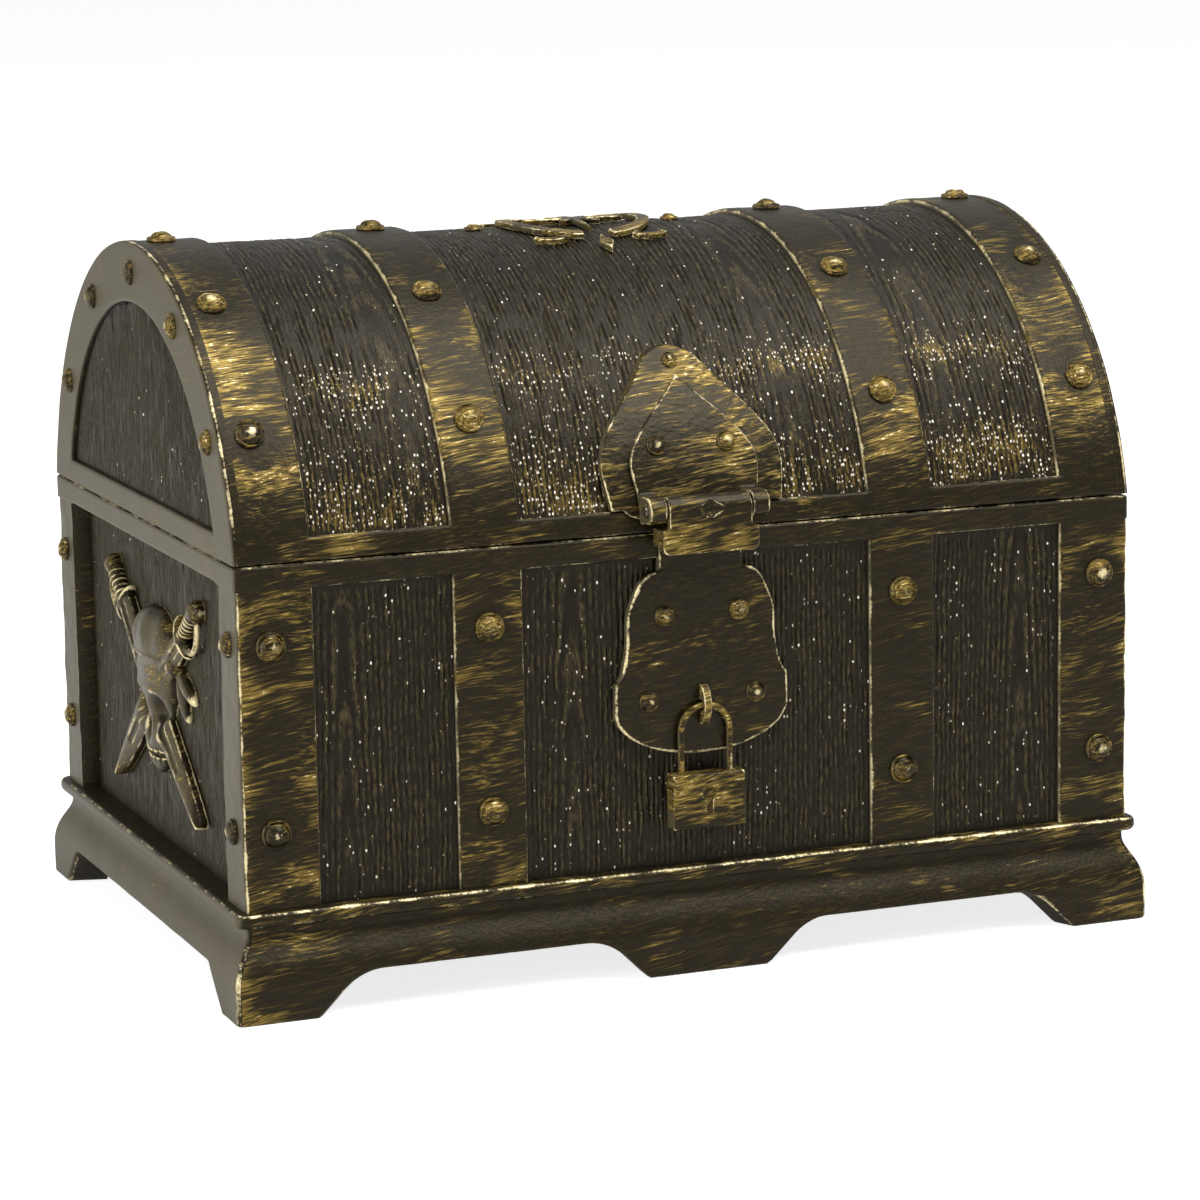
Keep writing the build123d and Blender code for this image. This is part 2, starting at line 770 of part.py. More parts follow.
def hasp_rivets():
    rivets = []
    turn = barrel_turn(hasp_rivet_height, hasp_face_rise)
    for x in (-hasp_rivet_offset, hasp_rivet_offset):
        rivets.append(barrel_plane(x, turn, hasp_face_rise) * dome(rivet_radius, rivet_height))
    turn = barrel_turn(top_stud_place, back_plate_rise)
    stud = dome(top_stud_radius, top_stud_height)
    rivets.append(barrel_plane(0, turn, back_plate_rise) * stud)
    return Compound(rivets)


def hasp_pin():
    end = hasp_knuckle_end + pin_end
    return hinge_cylinder(-hasp_axis_reach, hasp_axis_height, hinge_pin_radius, (-end, end))


def hasp_flap():
    """A barrel on the pin, a plate that hangs from its front, and two cheeks."""
    barrel_x = (-hasp_barrel_half_length, hasp_barrel_half_length)
    face = hasp_axis_reach + hasp_barrel_radius
    back = face - hasp_flap_thickness
    flap = hinge_cylinder(-hasp_axis_reach, hasp_axis_height, hasp_barrel_radius, barrel_x)
    flap += block(barrel_x, (-back, -face), (hasp_cheek_top, hasp_axis_height))
    wide = (-hasp_flap_half_width, hasp_flap_half_width)
    plate = block(wide, (-back, -face), (hasp_flap_bottom, hasp_cheek_top))
    corners = plate.edges().filter_by(Axis.Y).group_by(Axis.Z)[0]
    flap += fillet(corners, hasp_flap_corner)
    cheek_back = lock_face + hasp_cheek_gap
    inner = hasp_flap_half_width - hasp_cheek_thickness
    cheek_bottom = hasp_flap_bottom + hasp_flap_corner
    for x in ((inner, hasp_flap_half_width), (-hasp_flap_half_width, -inner)):
        flap += block(x, (-cheek_back, -back), (cheek_bottom, hasp_cheek_top))
    return flap - hasp_bore()


def arc_band(radius, width, start_turn, end_turn):
    """A strip along an arc about the origin, with square ends."""
    turns = [radians(turn) for turn in (start_turn, (start_turn + end_turn) / 2, end_turn)]
    outer = [((radius + width / 2) * cos(turn), (radius + width / 2) * sin(turn)) for turn in turns]
    inner = [((radius - width / 2) * cos(turn), (radius - width / 2) * sin(turn)) for turn in turns]
    ends = [Line(outer[0], inner[0]), Line(outer[-1], inner[-1])]
    return make_face(Curve() + [ThreePointArc(*outer), ThreePointArc(*inner)] + ends)


def emblem_outline():
    """A star in a wreath, with a leaf drop and two crescents before and behind, seen from above."""
    gap = wreath_gap_turn / 2
    half_wreath = arc_band(wreath_radius, wreath_width, gap - 90, 90 - gap)
    shapes = [half_wreath, mirror(half_wreath, about=Plane.YZ)]
    star = []
    for ray in range(star_rays):
        turn = radians(360 * ray / star_rays)
        length = star_short_ray if ray % 2 else star_long_ray
        star.append((length * sin(turn), length * cos(turn)))
        between = turn + radians(180 / star_rays)
        star.append((star_waist * sin(between), star_waist * cos(between)))
    shapes.append(make_face(Polyline(*star, close=True)))
    middle = wreath_radius + leaf_drop_gap + leaf_drop_length / 2
    drop = [(0, -leaf_drop_length / 2), (leaf_drop_half_width, 0), (0, leaf_drop_length / 2)]
    drop.append((-leaf_drop_half_width, 0))
    leaf = Pos(0, -middle) * make_face(Polyline(*drop, close=True))
    half_turn = crescent_half_turn
    crescent = arc_band(crescent_radius, crescent_width, -90 - half_turn, half_turn - 90)
    right = Pos(crescent_offset_along, crescent_radius - crescent_offset_across) * crescent
    front = [leaf, right, mirror(right, about=Plane.YZ)]
    return shapes + front + [mirror(shape, about=Plane.XZ) for shape in front]


def lid_emblem():
    """Each shape of the emblem laid on the middle panel, as thick as the relief."""
    x = (-half_length, half_length)
    layer = barrel_layer(-panel_sink, emblem_thickness - panel_sink, x, lid_rail_top)
    pieces = []
    for outline in emblem_outline():
        piece = extrude(Pos(0, 0, seam_height) * outline, amount=lid_rise + overrun)
        pieces += (piece & layer).solids()
    return Compound(pieces)


def cutlass():
    """One cutlass lying along X with its middle at the origin, its edge down."""
    hilt = -cutlass_length / 2 + grip_length
    tip = (cutlass_length / 2, 0)
    back = ThreePointArc((hilt, blade_width / 2), (0, blade_width / 2 + blade_bow / 4), tip)
    edge = ThreePointArc(tip, (0, -blade_width / 2 - blade_bow / 4), (hilt, -blade_width / 2))
    blade = make_face(Curve() + [back, edge, Line((hilt, -blade_width / 2), (hilt, blade_width / 2))])
    grip = Pos(hilt - grip_length / 2, 0) * Rectangle(grip_length, grip_width)
    guard = Pos(hilt, 0) * RectangleRounded(guard_thickness, guard_width, guard_thickness / 3)
    pommel = Pos(hilt - grip_length, 0) * Circle(pommel_radius)
    return blade + grip + guard + pommel


def raised(outline, thickness, edge_round):
    """An outline given depth, with its front edge rounded."""
    body = extrude(outline, amount=thickness)
    return fillet(body.faces().sort_by(Axis.Z)[-1].outer_wire().edges(), edge_round)


def skull():
    """Cranium and jaw with eye sockets and nose, seen square on, with depth."""
    cranium = Pos(0, skull_rise) * Ellipse(skull_half_width, skull_half_height)
    jaw = Pos(0, skull_rise - jaw_drop / 2) * RectangleRounded(2 * jaw_half_width, jaw_drop, jaw_round)
    head = raised(cranium, skull_thickness, skull_round) + raised(jaw, jaw_thickness, jaw_edge_round)
    floor = skull_thickness - socket_depth
    sockets = [Pos(x, -eye_drop) * Circle(eye_radius) for x in (-eye_spacing / 2, eye_spacing / 2)]
    nose_top = -eye_drop - eye_radius
    nose = Polyline(
        (-nose_half_width, nose_top - nose_height),
        (nose_half_width, nose_top - nose_height),
        (0, nose_top),
        close=True,
    )
    sockets.append(make_face(nose))
    for socket in sockets:
        head -= extrude(Pos(0, 0, floor) * socket, amount=skull_thickness)
    return head


def scarf():
    """The head scarf over the top of the skull, with a knot and two tails at one side."""
    ends = [(-scarf_half_width, scarf_edge), (scarf_half_width, scarf_edge)]
    crown = ThreePointArc(ends[0], (0, scarf_top), ends[1])
    brow = ThreePointArc(ends[0], (0, scarf_edge - scarf_round), ends[1])
    dome_face = make_face(Curve() + [crown, brow])
    cap = raised(dome_face, scarf_thickness, scarf_round)
    knot_place = Pos(scarf_half_width + knot_radius / 2, scarf_edge)
    knot = extrude(knot_place * Circle(knot_radius), amount=scarf_thickness)
    tails = []
    for turn in tail_turns:
        tail = Rectangle(tail_length, tail_width, align=(Align.MIN, Align.CENTER))
        tails.append(extrude(knot_place * Rot(0, 0, turn) * tail, amount=cutlass_thickness))
    return cap + knot + tails


def left_end_ornament():
    sword = Rot(0, 0, -relief_tilt) * cutlass()
    swords = extrude(sword + mirror(sword, about=Plane.YZ), amount=cutlass_thickness)
    relief = swords + skull() + scarf()
    face = tub_half_length + panel_thickness
    place = Plane(origin=(-face, 0, relief_height), x_dir=(0, -1, 0), z_dir=(-1, 0, 0))
    return place * relief


write(tub(), "tub")
outer_span = (-post_inner_edge, -strap_outer_edge)
inner_span = (-strap_inner_edge, strap_inner_edge)
side_panel = front_panel(outer_span)
middle_panel = front_panel(inner_span)
write(side_panel, "front_panel_left")
write(middle_panel, "front_panel_centre")
write(on_right(side_panel), "front_panel_right")
write(at_back(side_panel), "back_panel_left")
write(at_back(middle_panel), "back_panel_centre")
write(at_back(on_right(side_panel)), "back_panel_right")
write(left_end_panel(), "left_end_panel")
write(on_right(left_end_panel()), "right_end_panel")
post = front_left_post()
write(post, "corner_post_front_left")
write(on_right(post), "corner_post_front_right")
write(at_back(post), "corner_post_back_left")
write(at_back(on_right(post)), "corner_post_back_right")
strap = front_left_strap()
write(strap, "front_strap_left")
write(on_right(strap), "front_strap_right")
write(at_back(strap), "back_strap_left")
write(at_back(on_right(strap)), "back_strap_right")
write(rim_rail(), "rim_rail")
write(lip_moulding(), "lip_moulding")
front_board = plinth_board(True)
end_board = plinth_board(False)
write(front_board, "plinth_front")
write(at_back(front_board), "plinth_back")
write(end_board, "plinth_left")
write(on_right(end_board), "plinth_right")
write(body_studs(), "body_studs")
ornament = left_end_ornament()
write(ornament, "left_end_ornament")
write(on_right(ornament), "right_end_ornament")
write(lock_plate(), "lock_plate")
write(lock_plate_rivets(), "lock_plate_rivets")
write(lock_staple(), "lock_staple")
write(padlock_body(), "padlock_body")
write(padlock_shackle(), "padlock_shackle")
for side, x in (("left", -strap_middle), ("right", strap_middle)):
    write(box_hinge_leaf(x), f"box_hinge_leaf_{side}")
    write(lid_hinge_leaf(x), f"lid_hinge_leaf_{side}")
write(hinge_pins(), "hinge_pins")
write(box_hinge_rivets(), "box_hinge_rivets")
write(lid_hinge_rivets(), "lid_hinge_rivets")
write(lid_shell(), "lid_shell")
write(lid_rail_front(), "lid_rail_front")
write(at_back(lid_rail_front()), "lid_rail_back")
band = lid_strap((-lid_half_length, -post_inner_edge))
middle_strap = lid_strap((-strap_outer_edge, -strap_inner_edge))
write(band, "lid_end_band_left")
write(on_right(band), "lid_end_band_right")
write(middle_strap, "lid_strap_left")
write(on_right(middle_strap), "lid_strap_right")
side_lid_panel = lid_panel(outer_span)
write(side_lid_panel, "lid_panel_left")
write(lid_panel(inner_span), "lid_panel_centre")
write(on_right(side_lid_panel), "lid_panel_right")
write(left_end_frame(), "lid_end_frame_left")
write(on_right(left_end_frame()), "lid_end_frame_right")
write(left_lid_end_panel(), "lid_end_panel_left")
write(on_right(left_lid_end_panel()), "lid_end_panel_right")
write(lid_studs(), "lid_studs")
write(lid_emblem(), "lid_emblem")
write(hasp_back_plate(), "hasp_back_plate")
write(hasp_plate(), "hasp_plate")
write(hasp_rivets(), "hasp_rivets")
write(hasp_pin(), "hasp_pin")
write(hasp_flap(), "hasp_flap")
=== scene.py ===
from functools import cache, partial
from math import asin, atan2, cos, pi, radians, sin, tan

import bmesh
import bpy
import numpy as np
from mathutils import Matrix, Vector


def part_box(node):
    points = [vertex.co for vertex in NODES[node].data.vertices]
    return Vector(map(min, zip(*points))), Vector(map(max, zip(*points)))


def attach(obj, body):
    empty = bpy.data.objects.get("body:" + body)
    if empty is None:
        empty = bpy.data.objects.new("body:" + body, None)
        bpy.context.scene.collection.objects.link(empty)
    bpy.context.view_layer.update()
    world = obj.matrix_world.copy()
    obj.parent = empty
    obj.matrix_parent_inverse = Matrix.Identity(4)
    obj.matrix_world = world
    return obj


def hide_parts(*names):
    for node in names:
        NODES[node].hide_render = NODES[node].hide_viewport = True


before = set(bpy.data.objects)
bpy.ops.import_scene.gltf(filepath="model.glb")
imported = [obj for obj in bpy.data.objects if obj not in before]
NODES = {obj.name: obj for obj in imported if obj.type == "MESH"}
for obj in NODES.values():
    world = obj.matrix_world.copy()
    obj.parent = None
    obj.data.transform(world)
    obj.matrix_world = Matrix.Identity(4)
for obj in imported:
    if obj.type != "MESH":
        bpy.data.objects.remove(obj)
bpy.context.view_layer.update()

bl_info = {
    "name": "Treasure Chest Dressing",
    "version": (1, 0, 0),
    "blender": (4, 5, 0),
    "location": "3D View > Sidebar > Chest",
    "description": "Dresses the packed chest with grained planks, brushed straps, studs, lock and reliefs",
    "category": "Object",
}

MM = 0.001
COARSER = 1


def span(node_name):
    """A CAD node's lowest and highest corners, in millimetres."""
    low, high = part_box(node_name)
    return np.array(low) / MM, np.array(high) / MM


# The frame's own sizes, in millimetres: the body's outer faces, the seam and the lid's arch
RAIL_LOW, RAIL_HIGH = span("rim_rail")
TUB_HIGH = span("tub")[1]
ARCH_LOW, ARCH_HIGH = span("lid_end_frame_left")
LIP_LOW, LIP_HIGH = span("lip_moulding")
FOOT_HIGH = span("plinth_front")[1]
LID_RAIL_LOW, LID_RAIL_HIGH = span("lid_rail_front")
LID_SHELL_HIGH = span("lid_shell")[1]
END_ARCH_LOW, END_ARCH_HIGH = span("lid_end_panel_left")
HALF_LENGTH = RAIL_HIGH[0]
MIDDLE_Y = (RAIL_LOW[1] + RAIL_HIGH[1]) / 2
HALF_DEPTH = RAIL_HIGH[1] - MIDDLE_Y
TUB_HALF_LENGTH = TUB_HIGH[0]
TUB_HALF_DEPTH = TUB_HIGH[1] - MIDDLE_Y
LID_HALF_LENGTH = LID_SHELL_HIGH[0]
SEAM = (RAIL_HIGH[2] + ARCH_LOW[2]) / 2
LID_RISE = ARCH_HIGH[2] - SEAM
FRAME_THICK = HALF_DEPTH - TUB_HALF_DEPTH
LID_RADIUS = (HALF_DEPTH**2 + LID_RISE**2) / (2 * LID_RISE)
LID_CENTRE = ARCH_HIGH[2] - LID_RADIUS
RAIL_TURN = asin((LID_RAIL_HIGH[2] - LID_CENTRE) / LID_RADIUS)

# Sizes that the boxes of the nodes don't give, in millimetres
CORNER_RADIUS = 0.8
PANEL_THICK = 1.0
ARCH_EDGE_ROUND = 0.6
LIP_NOSE = 0.9
SKIRT_HEIGHT = 6.7
SLOPE_RUN = 6.9
CORNER_FOOT = 12.8
CENTRE_FOOT_HALF = 10.2
END_FOOT = 8.3
FRONT_SKIRT_ROUND = 9.0
END_SKIRT_ROUND = 2.5
SOLE_ROUND = 0.5
INSIDE = -9.0
FAR = 99.0

# The meshes' steps, in millimetres: the grain needs fine ones across and coarser ones along
PLANK_CELL = 0.21
LID_PLANK_CELL = 0.22
PLANK_STEP = 0.8
LID_PLANK_STEP = 1.3
RAIL_STEP = 0.5
PLINTH_STEP = 0.6
PLINTH_ROWS = 30
ARCH_STEPS = 150
CAD_WELD = 0.0000005

# Rub runs from 0 to about 1, and on the studs' domes it is partly a painted highlight; a wall's back and
# what lies on the tub are below it. Gold on the ends is least
UNRUBBED = -3.0
END_PLANK_GOLD = 0.015
LID_END_GOLD = 0.02

# What is there several times: planks from left to right, and the two ends
PARTS = ("left", "centre", "right")
ENDS = (("left", -1), ("right", 1))
WALLS = (("front", -1), ("back", 1))
STUD_BODIES = {
    "body_studs": "chest", "lid_studs": "lid", "lock_plate_rivets": "chest", "hasp_rivets": "lid",
    "box_hinge_rivets": "chest", "lid_hinge_rivets": "lid",
}

# The finishes, and how each kind of piece is finished: the end of its name, its slot, its material and
# the least angle of a sharp edge
STRAP = "Moulded styrene, dry-brushed gold"
PLANK = "Grained styrene, dry-brushed gold"
RELIEF = "Moulded relief, rubbed gold"
BARE = "Moulded styrene, bare"
WIRE = "Drawn steel wire"
GRAINED = ("grained", "plank_panel", PLANK, 38)
BRUSHED = ("brushed", "brushed_frame", STRAP, 38)
DENTED = ("dented", "gold_relief", RELIEF, 50)
CAST = ("cast", "lock_fittings", RELIEF, 70)
CAST_GOLD = ("cast", "gold_relief", RELIEF, 70)
CARVED = ("carved", "gold_relief", RELIEF, 70)


def linear(text):
    """The linear colour of an sRGB hex value."""
    parts = [int(text[i:i + 2], 16) / 255 for i in (1, 3, 5)]
    return tuple(c / 12.92 if c <= 0.04045 else ((c + 0.055) / 1.055) ** 2.4 for c in parts)


class ChestSizes(bpy.types.PropertyGroup):
    """Sizes of the surface work, in millimetres."""

    grain_pitch: bpy.props.FloatProperty(
        name="Grain pitch", description="Distance between two grooves of the planks", default=0.88, min=0.5
    )
    grain_depth: bpy.props.FloatProperty(
        name="Grain depth", description="Depth of the deepest grooves", default=0.3, min=0.0
    )
    edge_round: bpy.props.FloatProperty(
        name="Edge round", description="Radius of the straps' and rails' edges", default=0.55, min=0.1
    )
    hammer: bpy.props.FloatProperty(
        name="Unevenness", description="How far the straps' faces dip", default=0.16, min=0.0
    )
    cell: bpy.props.FloatProperty(
        name="Mesh cell", description="Side of a mesh cell on the straps", default=0.8, min=0.3
    )


class ChestColours(bpy.types.PropertyGroup):
    """Colours of the finishes."""

    plastic: bpy.props.FloatVectorProperty(
        name="Plastic", description="Brown-black moulded plastic",
        subtype="COLOR", default=linear("#181409")
    )
    plank: bpy.props.FloatVectorProperty(
        name="Planks", description="The same plastic in the grained planks",
        subtype="COLOR", default=linear("#231e12")
    )
    gold: bpy.props.FloatVectorProperty(
        name="Brushed gold", description="Antique gold of the brush marks",
        subtype="COLOR", default=linear("#8a7339")
    )
    # Paler gold of rubbed edges, also the colour of the painted glints on the streaks and of the partly
    # painted highlight on the studs' domes
    bright: bpy.props.FloatVectorProperty(
        name="Rubbed gold", description="Paler gold on rubbed edges",
        subtype="COLOR", default=linear("#e3d3a4")
    )
    # The lighter bronze tone of faces towards the ends: partly bronze paint, partly a painted sheen of light
    # glancing off the ends
    satin: bpy.props.FloatVectorProperty(
        name="Satin bronze", description="Thin bronze coat on the ends",
        subtype="COLOR", default=linear("#595340")
    )


def cell_value(i, j, k, seed):
    """A steady random value from 0 to 1 for each cell of a lattice."""
    mixed = ((i * 73856093) ^ (j * 19349663) ^ (k * 83492791) ^ (seed * 40503921)) & 0xFFFFFFFF
    mixed = ((mixed ^ (mixed >> 13)) * 1274126177) & 0xFFFFFFFF
    mixed = ((mixed ^ (mixed >> 15)) * 715225739) & 0xFFFFFFFF
    return (mixed ^ (mixed >> 16)) / 0xFFFFFFFF


def noise(points, size, seed=0):
    """Smooth noise from -1 to 1 at points; size is how long the spots are along each axis."""
    place = points / np.array(size, float)
    base = np.floor(place).astype(np.int64)
    part = place - base
    part = part * part * (3 - 2 * part)
    total = np.zeros(len(points))
    for corner in range(8):
        bits = [(corner >> axis) & 1 for axis in range(3)]
        weight = np.ones(len(points))
        for axis, bit in enumerate(bits):
            weight = weight * (part[:, axis] if bit else 1 - part[:, axis])
        total += weight * cell_value(base[:, 0] + bits[0], base[:, 1] + bits[1], base[:, 2] + bits[2], seed)
    return 2 * total - 1


def dents(points, seed, size=(6, 6, 6)):
    """How far the moulding's uneven face dips at points, in millimetres."""
    return bpy.context.scene.chest_sizes.hammer * (0.5 + 0.5 * noise(points, size, seed))


def lines(low, high, cell, edge=0.0, steps=4):
    """Where grid lines lie between two borders, closer together where a border is rounded."""
    count = max(2, round((high - low - 2 * edge) / cell) + 1)
    middle = np.linspace(low + edge, high - edge, count)
    if edge == 0:
        return middle
    near = edge * (1 - np.cos(np.linspace(0, pi / 2, steps + 1)[:-1]))
    return np.concatenate([low + near, middle, (high - near)[::-1]])


def rounding(distance, radius):
    """How far a rounded edge has dropped at a distance from its border."""
    inward = np.clip(radius - distance, 0, radius)
    return radius - np.sqrt(np.maximum(radius**2 - inward**2, 0))


def level(brushed, a, b):
    """The brushed gold at each point: a number for all, or worked out from the two places."""
    return brushed(a, b) if callable(brushed) else np.full(len(a), brushed)


def mesh_from(bm, name):
    """Turns a bmesh into a new mesh."""
    mesh = bpy.data.meshes.new(name)
    bm.to_mesh(mesh)
    bm.free()
    return mesh


def merged(node_name):
    """A bmesh of a CAD node, its loose triangles joined up."""
    bm = bmesh.new()
    bm.from_mesh(NODES[node_name].data)
    bmesh.ops.remove_doubles(bm, verts=bm.verts[:], dist=CAD_WELD)
    return bm


def points_of(mesh, kind="co"):
    """The places (or the normals) of a mesh's points, one row each."""
    values = np.zeros(len(mesh.vertices) * 3)
    mesh.vertices.foreach_get(kind, values)
    return values.reshape(-1, 3)


def set_points(mesh, co):
    """Moves a mesh's points to places in metres."""
    mesh.vertices.foreach_set("co", np.ascontiguousarray(co, float).ravel())


def set_values(mesh, name, values):
    """Stores one number per point, which the materials read."""
    layer = mesh.attributes.get(name) or mesh.attributes.new(name, "FLOAT", "POINT")
    layer.data.foreach_set("value", np.ascontiguousarray(values, np.float32))


def set_surface(mesh, places):
    """Stores each point's place on the surface, in metres, which the grain follows."""
    layer = mesh.attributes.get("surface") or mesh.attributes.new("surface", "FLOAT_VECTOR", "POINT")
    layer.data.foreach_set("vector", places.astype(np.float32).ravel())


def grid_mesh(columns, rows, closed_slab):
    """A mesh grid, drawn out once if it is a slab, with each point's column, row and side."""
    bm = bmesh.new()
    bmesh.ops.create_grid(bm, x_segments=columns - 1, y_segments=rows - 1, size=1.0)
    if closed_slab:
        drawn = bmesh.ops.extrude_face_region(bm, geom=bm.faces[:])
        moved = [g for g in drawn["geom"] if isinstance(g, bmesh.types.BMVert)]
        bmesh.ops.translate(bm, vec=(0, 0, 1), verts=moved)
    mesh = mesh_from(bm, "grid")
    co = points_of(mesh)
    share = (co - co.min(0))[:, :2] / np.ptp(co, axis=0)[:2]
    column, row = np.rint(share * (columns - 1, rows - 1)).astype(int).T
    return mesh, column, row, co[:, 2] > 0.5


def slab(across, along, place, thick, shape, along_scale=1.0):
    """A closed slab. place turns across, along and depth into a point; shape gives the front's rise, rub and
    brushed gold at each of its points. Across and along, in metres, are kept for the grain."""
    mesh, column, row, front = grid_mesh(len(across), len(along), True)
    a, b = across[column], along[row]
    rise, rub, brushed = shape(a, b, place(a, b, np.full(len(a), thick)))
    depth = np.where(front, thick + rise, 0.0)
    set_points(mesh, place(a, b, depth) * MM)
    set_values(mesh, "rub", np.where(front, rub, UNRUBBED))
    set_values(mesh, "brushed", brushed)
    set_surface(mesh, np.stack([a, b * along_scale, depth], 1) * MM)
    return mesh


def mend(mesh, weld=0.000002):
    """Merges what meets, drops faces with no area and turns all faces outwards."""
    bm = bmesh.new()
    bm.from_mesh(mesh)
    bmesh.ops.remove_doubles(bm, verts=bm.verts[:], dist=weld)
    bmesh.ops.dissolve_degenerate(bm, edges=bm.edges[:], dist=weld / 4)
    bmesh.ops.recalc_face_normals(bm, faces=bm.faces[:])
    bm.to_mesh(mesh)
    bm.free()


def joined(meshes):
    """Several meshes as one, their stored numbers kept."""
    bm = bmesh.new()
    for mesh in meshes:
        bm.from_mesh(mesh)
        bpy.data.meshes.remove(mesh)
    return mesh_from(bm, "joined")


def shells_of(node_name):
    """The separate solids of a CAD node, each as its points in millimetres."""
    bm = merged(node_name)
    seen = set()
    found = []
    for vert in bm.verts:
        if vert in seen:
            continue
        stack, members = [vert], []
        seen.add(vert)
        while stack:
            here = stack.pop()
            members.append(here.co[:])
            for edge in here.link_edges:
                other = edge.other_vert(here)
                if other not in seen:
                    seen.add(other)
                    stack.append(other)
        found.append(np.array(members) / MM)
    bm.free()
    return found


@cache
def stud_centres():
    """The middles of all studs and rivets, in millimetres."""
    return np.array([points.mean(0) for node_name in STUD_BODIES for points in shells_of(node_name)])


def away_from_stud_shade(points):
    """From 0 next to a stud to 1 away from it: beside a stud the strap takes less gold and stays darker,
    partly where the brush skipped over it and partly a painted shade round the stud.
    """
    collar, reach = 2.2, 3.2
    nearest = np.full(len(points), FAR**2)
    for centre in stud_centres():
        nearest = np.minimum(nearest, ((points - centre) ** 2).sum(1))
    return np.clip((np.sqrt(nearest) - collar) / reach, 0, 1)


def finish_piece(name, mesh, body, finish, nodes=None):
    """Makes a mesh a piece in place of its CAD nodes: shaded, dressed, and riding on its body."""
    ending, slot, material, sharp = finish
    mesh.polygons.foreach_set("use_smooth", np.ones(len(mesh.polygons), bool))
    mesh.set_sharp_from_angle(angle=radians(sharp))
    mesh.name = f"{name}_{ending}"
    piece = bpy.data.objects.new(f"{name}_{ending}", mesh)
    bpy.context.scene.collection.objects.link(piece)
    mesh.materials.append(material_named(material))
    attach(piece, body)
    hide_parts(*(nodes or [name]))


def slab_piece(node_name, body, finish, across, along, place, thick, shape, along_scale=1.0):
    """A closed slab in place of a CAD node."""
    mesh = slab(across, along, place, thick, shape, along_scale)
    mend(mesh)
    finish_piece(node_name, mesh, body, finish)


def paint_node(node_name, material):
    """Gives a CAD node a material in every slot that it has."""
    mesh = NODES[node_name].data
    if not mesh.materials:
        mesh.materials.append(material)
    for index in range(len(mesh.materials)):
        mesh.materials[index] = material


def wall_place(side):
    """Places on the front (-1) or the back (1) of the tub."""
    return lambda x, z, d: np.stack([x, MIDDLE_Y + side * (TUB_HALF_DEPTH + d), z], 1)


def end_place(side):
    """Places on the left (-1) or right (1) end of the tub."""
    return lambda y, z, d: np.stack([side * (TUB_HALF_LENGTH + d), MIDDLE_Y + y, z], 1)


def lid_end_place(side):
    """Places on the left (-1) or right (1) end of the lid's shell."""
    return lambda y, z, d: np.stack([side * (LID_HALF_LENGTH + d), MIDDLE_Y + y, z], 1)


def barrel_place(x, turn, d):
    """Places on the lid's barrel, by the turn about its axis from the front, d over the shell."""
    reach = LID_RADIUS - FRAME_THICK + d
    height = LID_CENTRE + reach * np.sin(turn)
    return np.stack([x, MIDDLE_Y - reach * np.cos(turn), np.maximum(height, LID_RAIL_LOW[2])], 1)


def post_place(side_x, side_y):
    """Places round a corner of the body: a length from the corner, along the end if below zero."""
    arc = CORNER_RADIUS * pi / 4

    def place(length, z, d):
        turn = np.clip(length / CORNER_RADIUS, -pi / 4, pi / 4) + pi / 4
        run_x = np.clip(length - arc, 0, None)
        run_y = np.clip(-length - arc, 0, None)
        out_x = HALF_LENGTH - CORNER_RADIUS * (1 - np.cos(turn)) - run_x
        out_y = HALF_DEPTH - CORNER_RADIUS * (1 - np.sin(turn)) - run_y
        in_x = np.minimum(out_x, TUB_HALF_LENGTH)
        in_y = np.minimum(out_y, TUB_HALF_DEPTH)
        share = d / FRAME_THICK
        x = in_x + (out_x - in_x) * share
        y = in_y + (out_y - in_y) * share
        return np.stack([side_x * x, MIDDLE_Y + side_y * y, z], 1)

    return place


def strap_shape(across, brushed, seed, sides=(True, True)):
    """An uneven face whose chosen sides are rounded and rubbed pale; beside the studs it takes less gold,
    partly where the brush skipped and partly a painted shade round them.
    """
    sizes = bpy.context.scene.chest_sizes

    def shape(a, b, face):
        reach = np.full(len(a), FAR)
        for on, distance in zip(sides, (a - across[0], across[-1] - a)):
            if on:
                reach = np.minimum(reach, distance)
        dip = dents(face, seed) + 0.25 * sizes.hammer * (1 + noise(face, (1.6, 1.6, 1.6), seed + 1))
        # Less gold near the studs: partly a painted shade round them
        amount = level(brushed, a, b) - 0.35 * (1 - away_from_stud_shade(face))
        return -rounding(reach, sizes.edge_round) - dip, np.exp(-reach / 0.5), amount

    return shape


def border_shape(near, rub, brushed, seed):
    """An uneven face, rounded and rubbed towards a border whose distance near gives."""
    radius = bpy.context.scene.chest_sizes.edge_round

    def shape(a, b, face):
        reach = near(a, b)
        drop = rounding(reach, radius) + dents(face, seed)
        return -drop, rub * np.exp(-reach / 0.4), level(brushed, a, b)

    return shape


def grain_height(across, along, centre, start, seed):
    """Oak grain as a height from -1 to 0: broken grooves that bow round a figure in the plank."""
    sizes = bpy.context.scene.chest_sizes
    flat = np.stack([across, along, np.zeros(len(across))], 1)
    bow = np.sqrt((across - centre) ** 2 + (0.05 * (along - start)) ** 2)
    drift = 0.45 * noise(flat, (13, 40, 1), seed) + 0.2 * noise(flat, (2.0, 5, 1), seed + 1)
    order = (bow + drift) / sizes.grain_pitch
    row = np.floor(order)
    ridge = 0.5 - 0.5 * np.cos(2 * pi * order)
    key = np.stack([row * 3.7, along, np.zeros(len(along))], 1)
    depth = np.clip(0.6 + 0.8 * noise(key, (1.0, 3.2, 1), seed + 2), 0.08, 1)
    pores = 0.4 * np.clip(noise(flat, (0.6, 1.5, 1), seed + 3), 0, 1)
    return -depth * (1 - ridge) ** 1.2 - pores, ridge * (0.25 + 0.75 * depth)


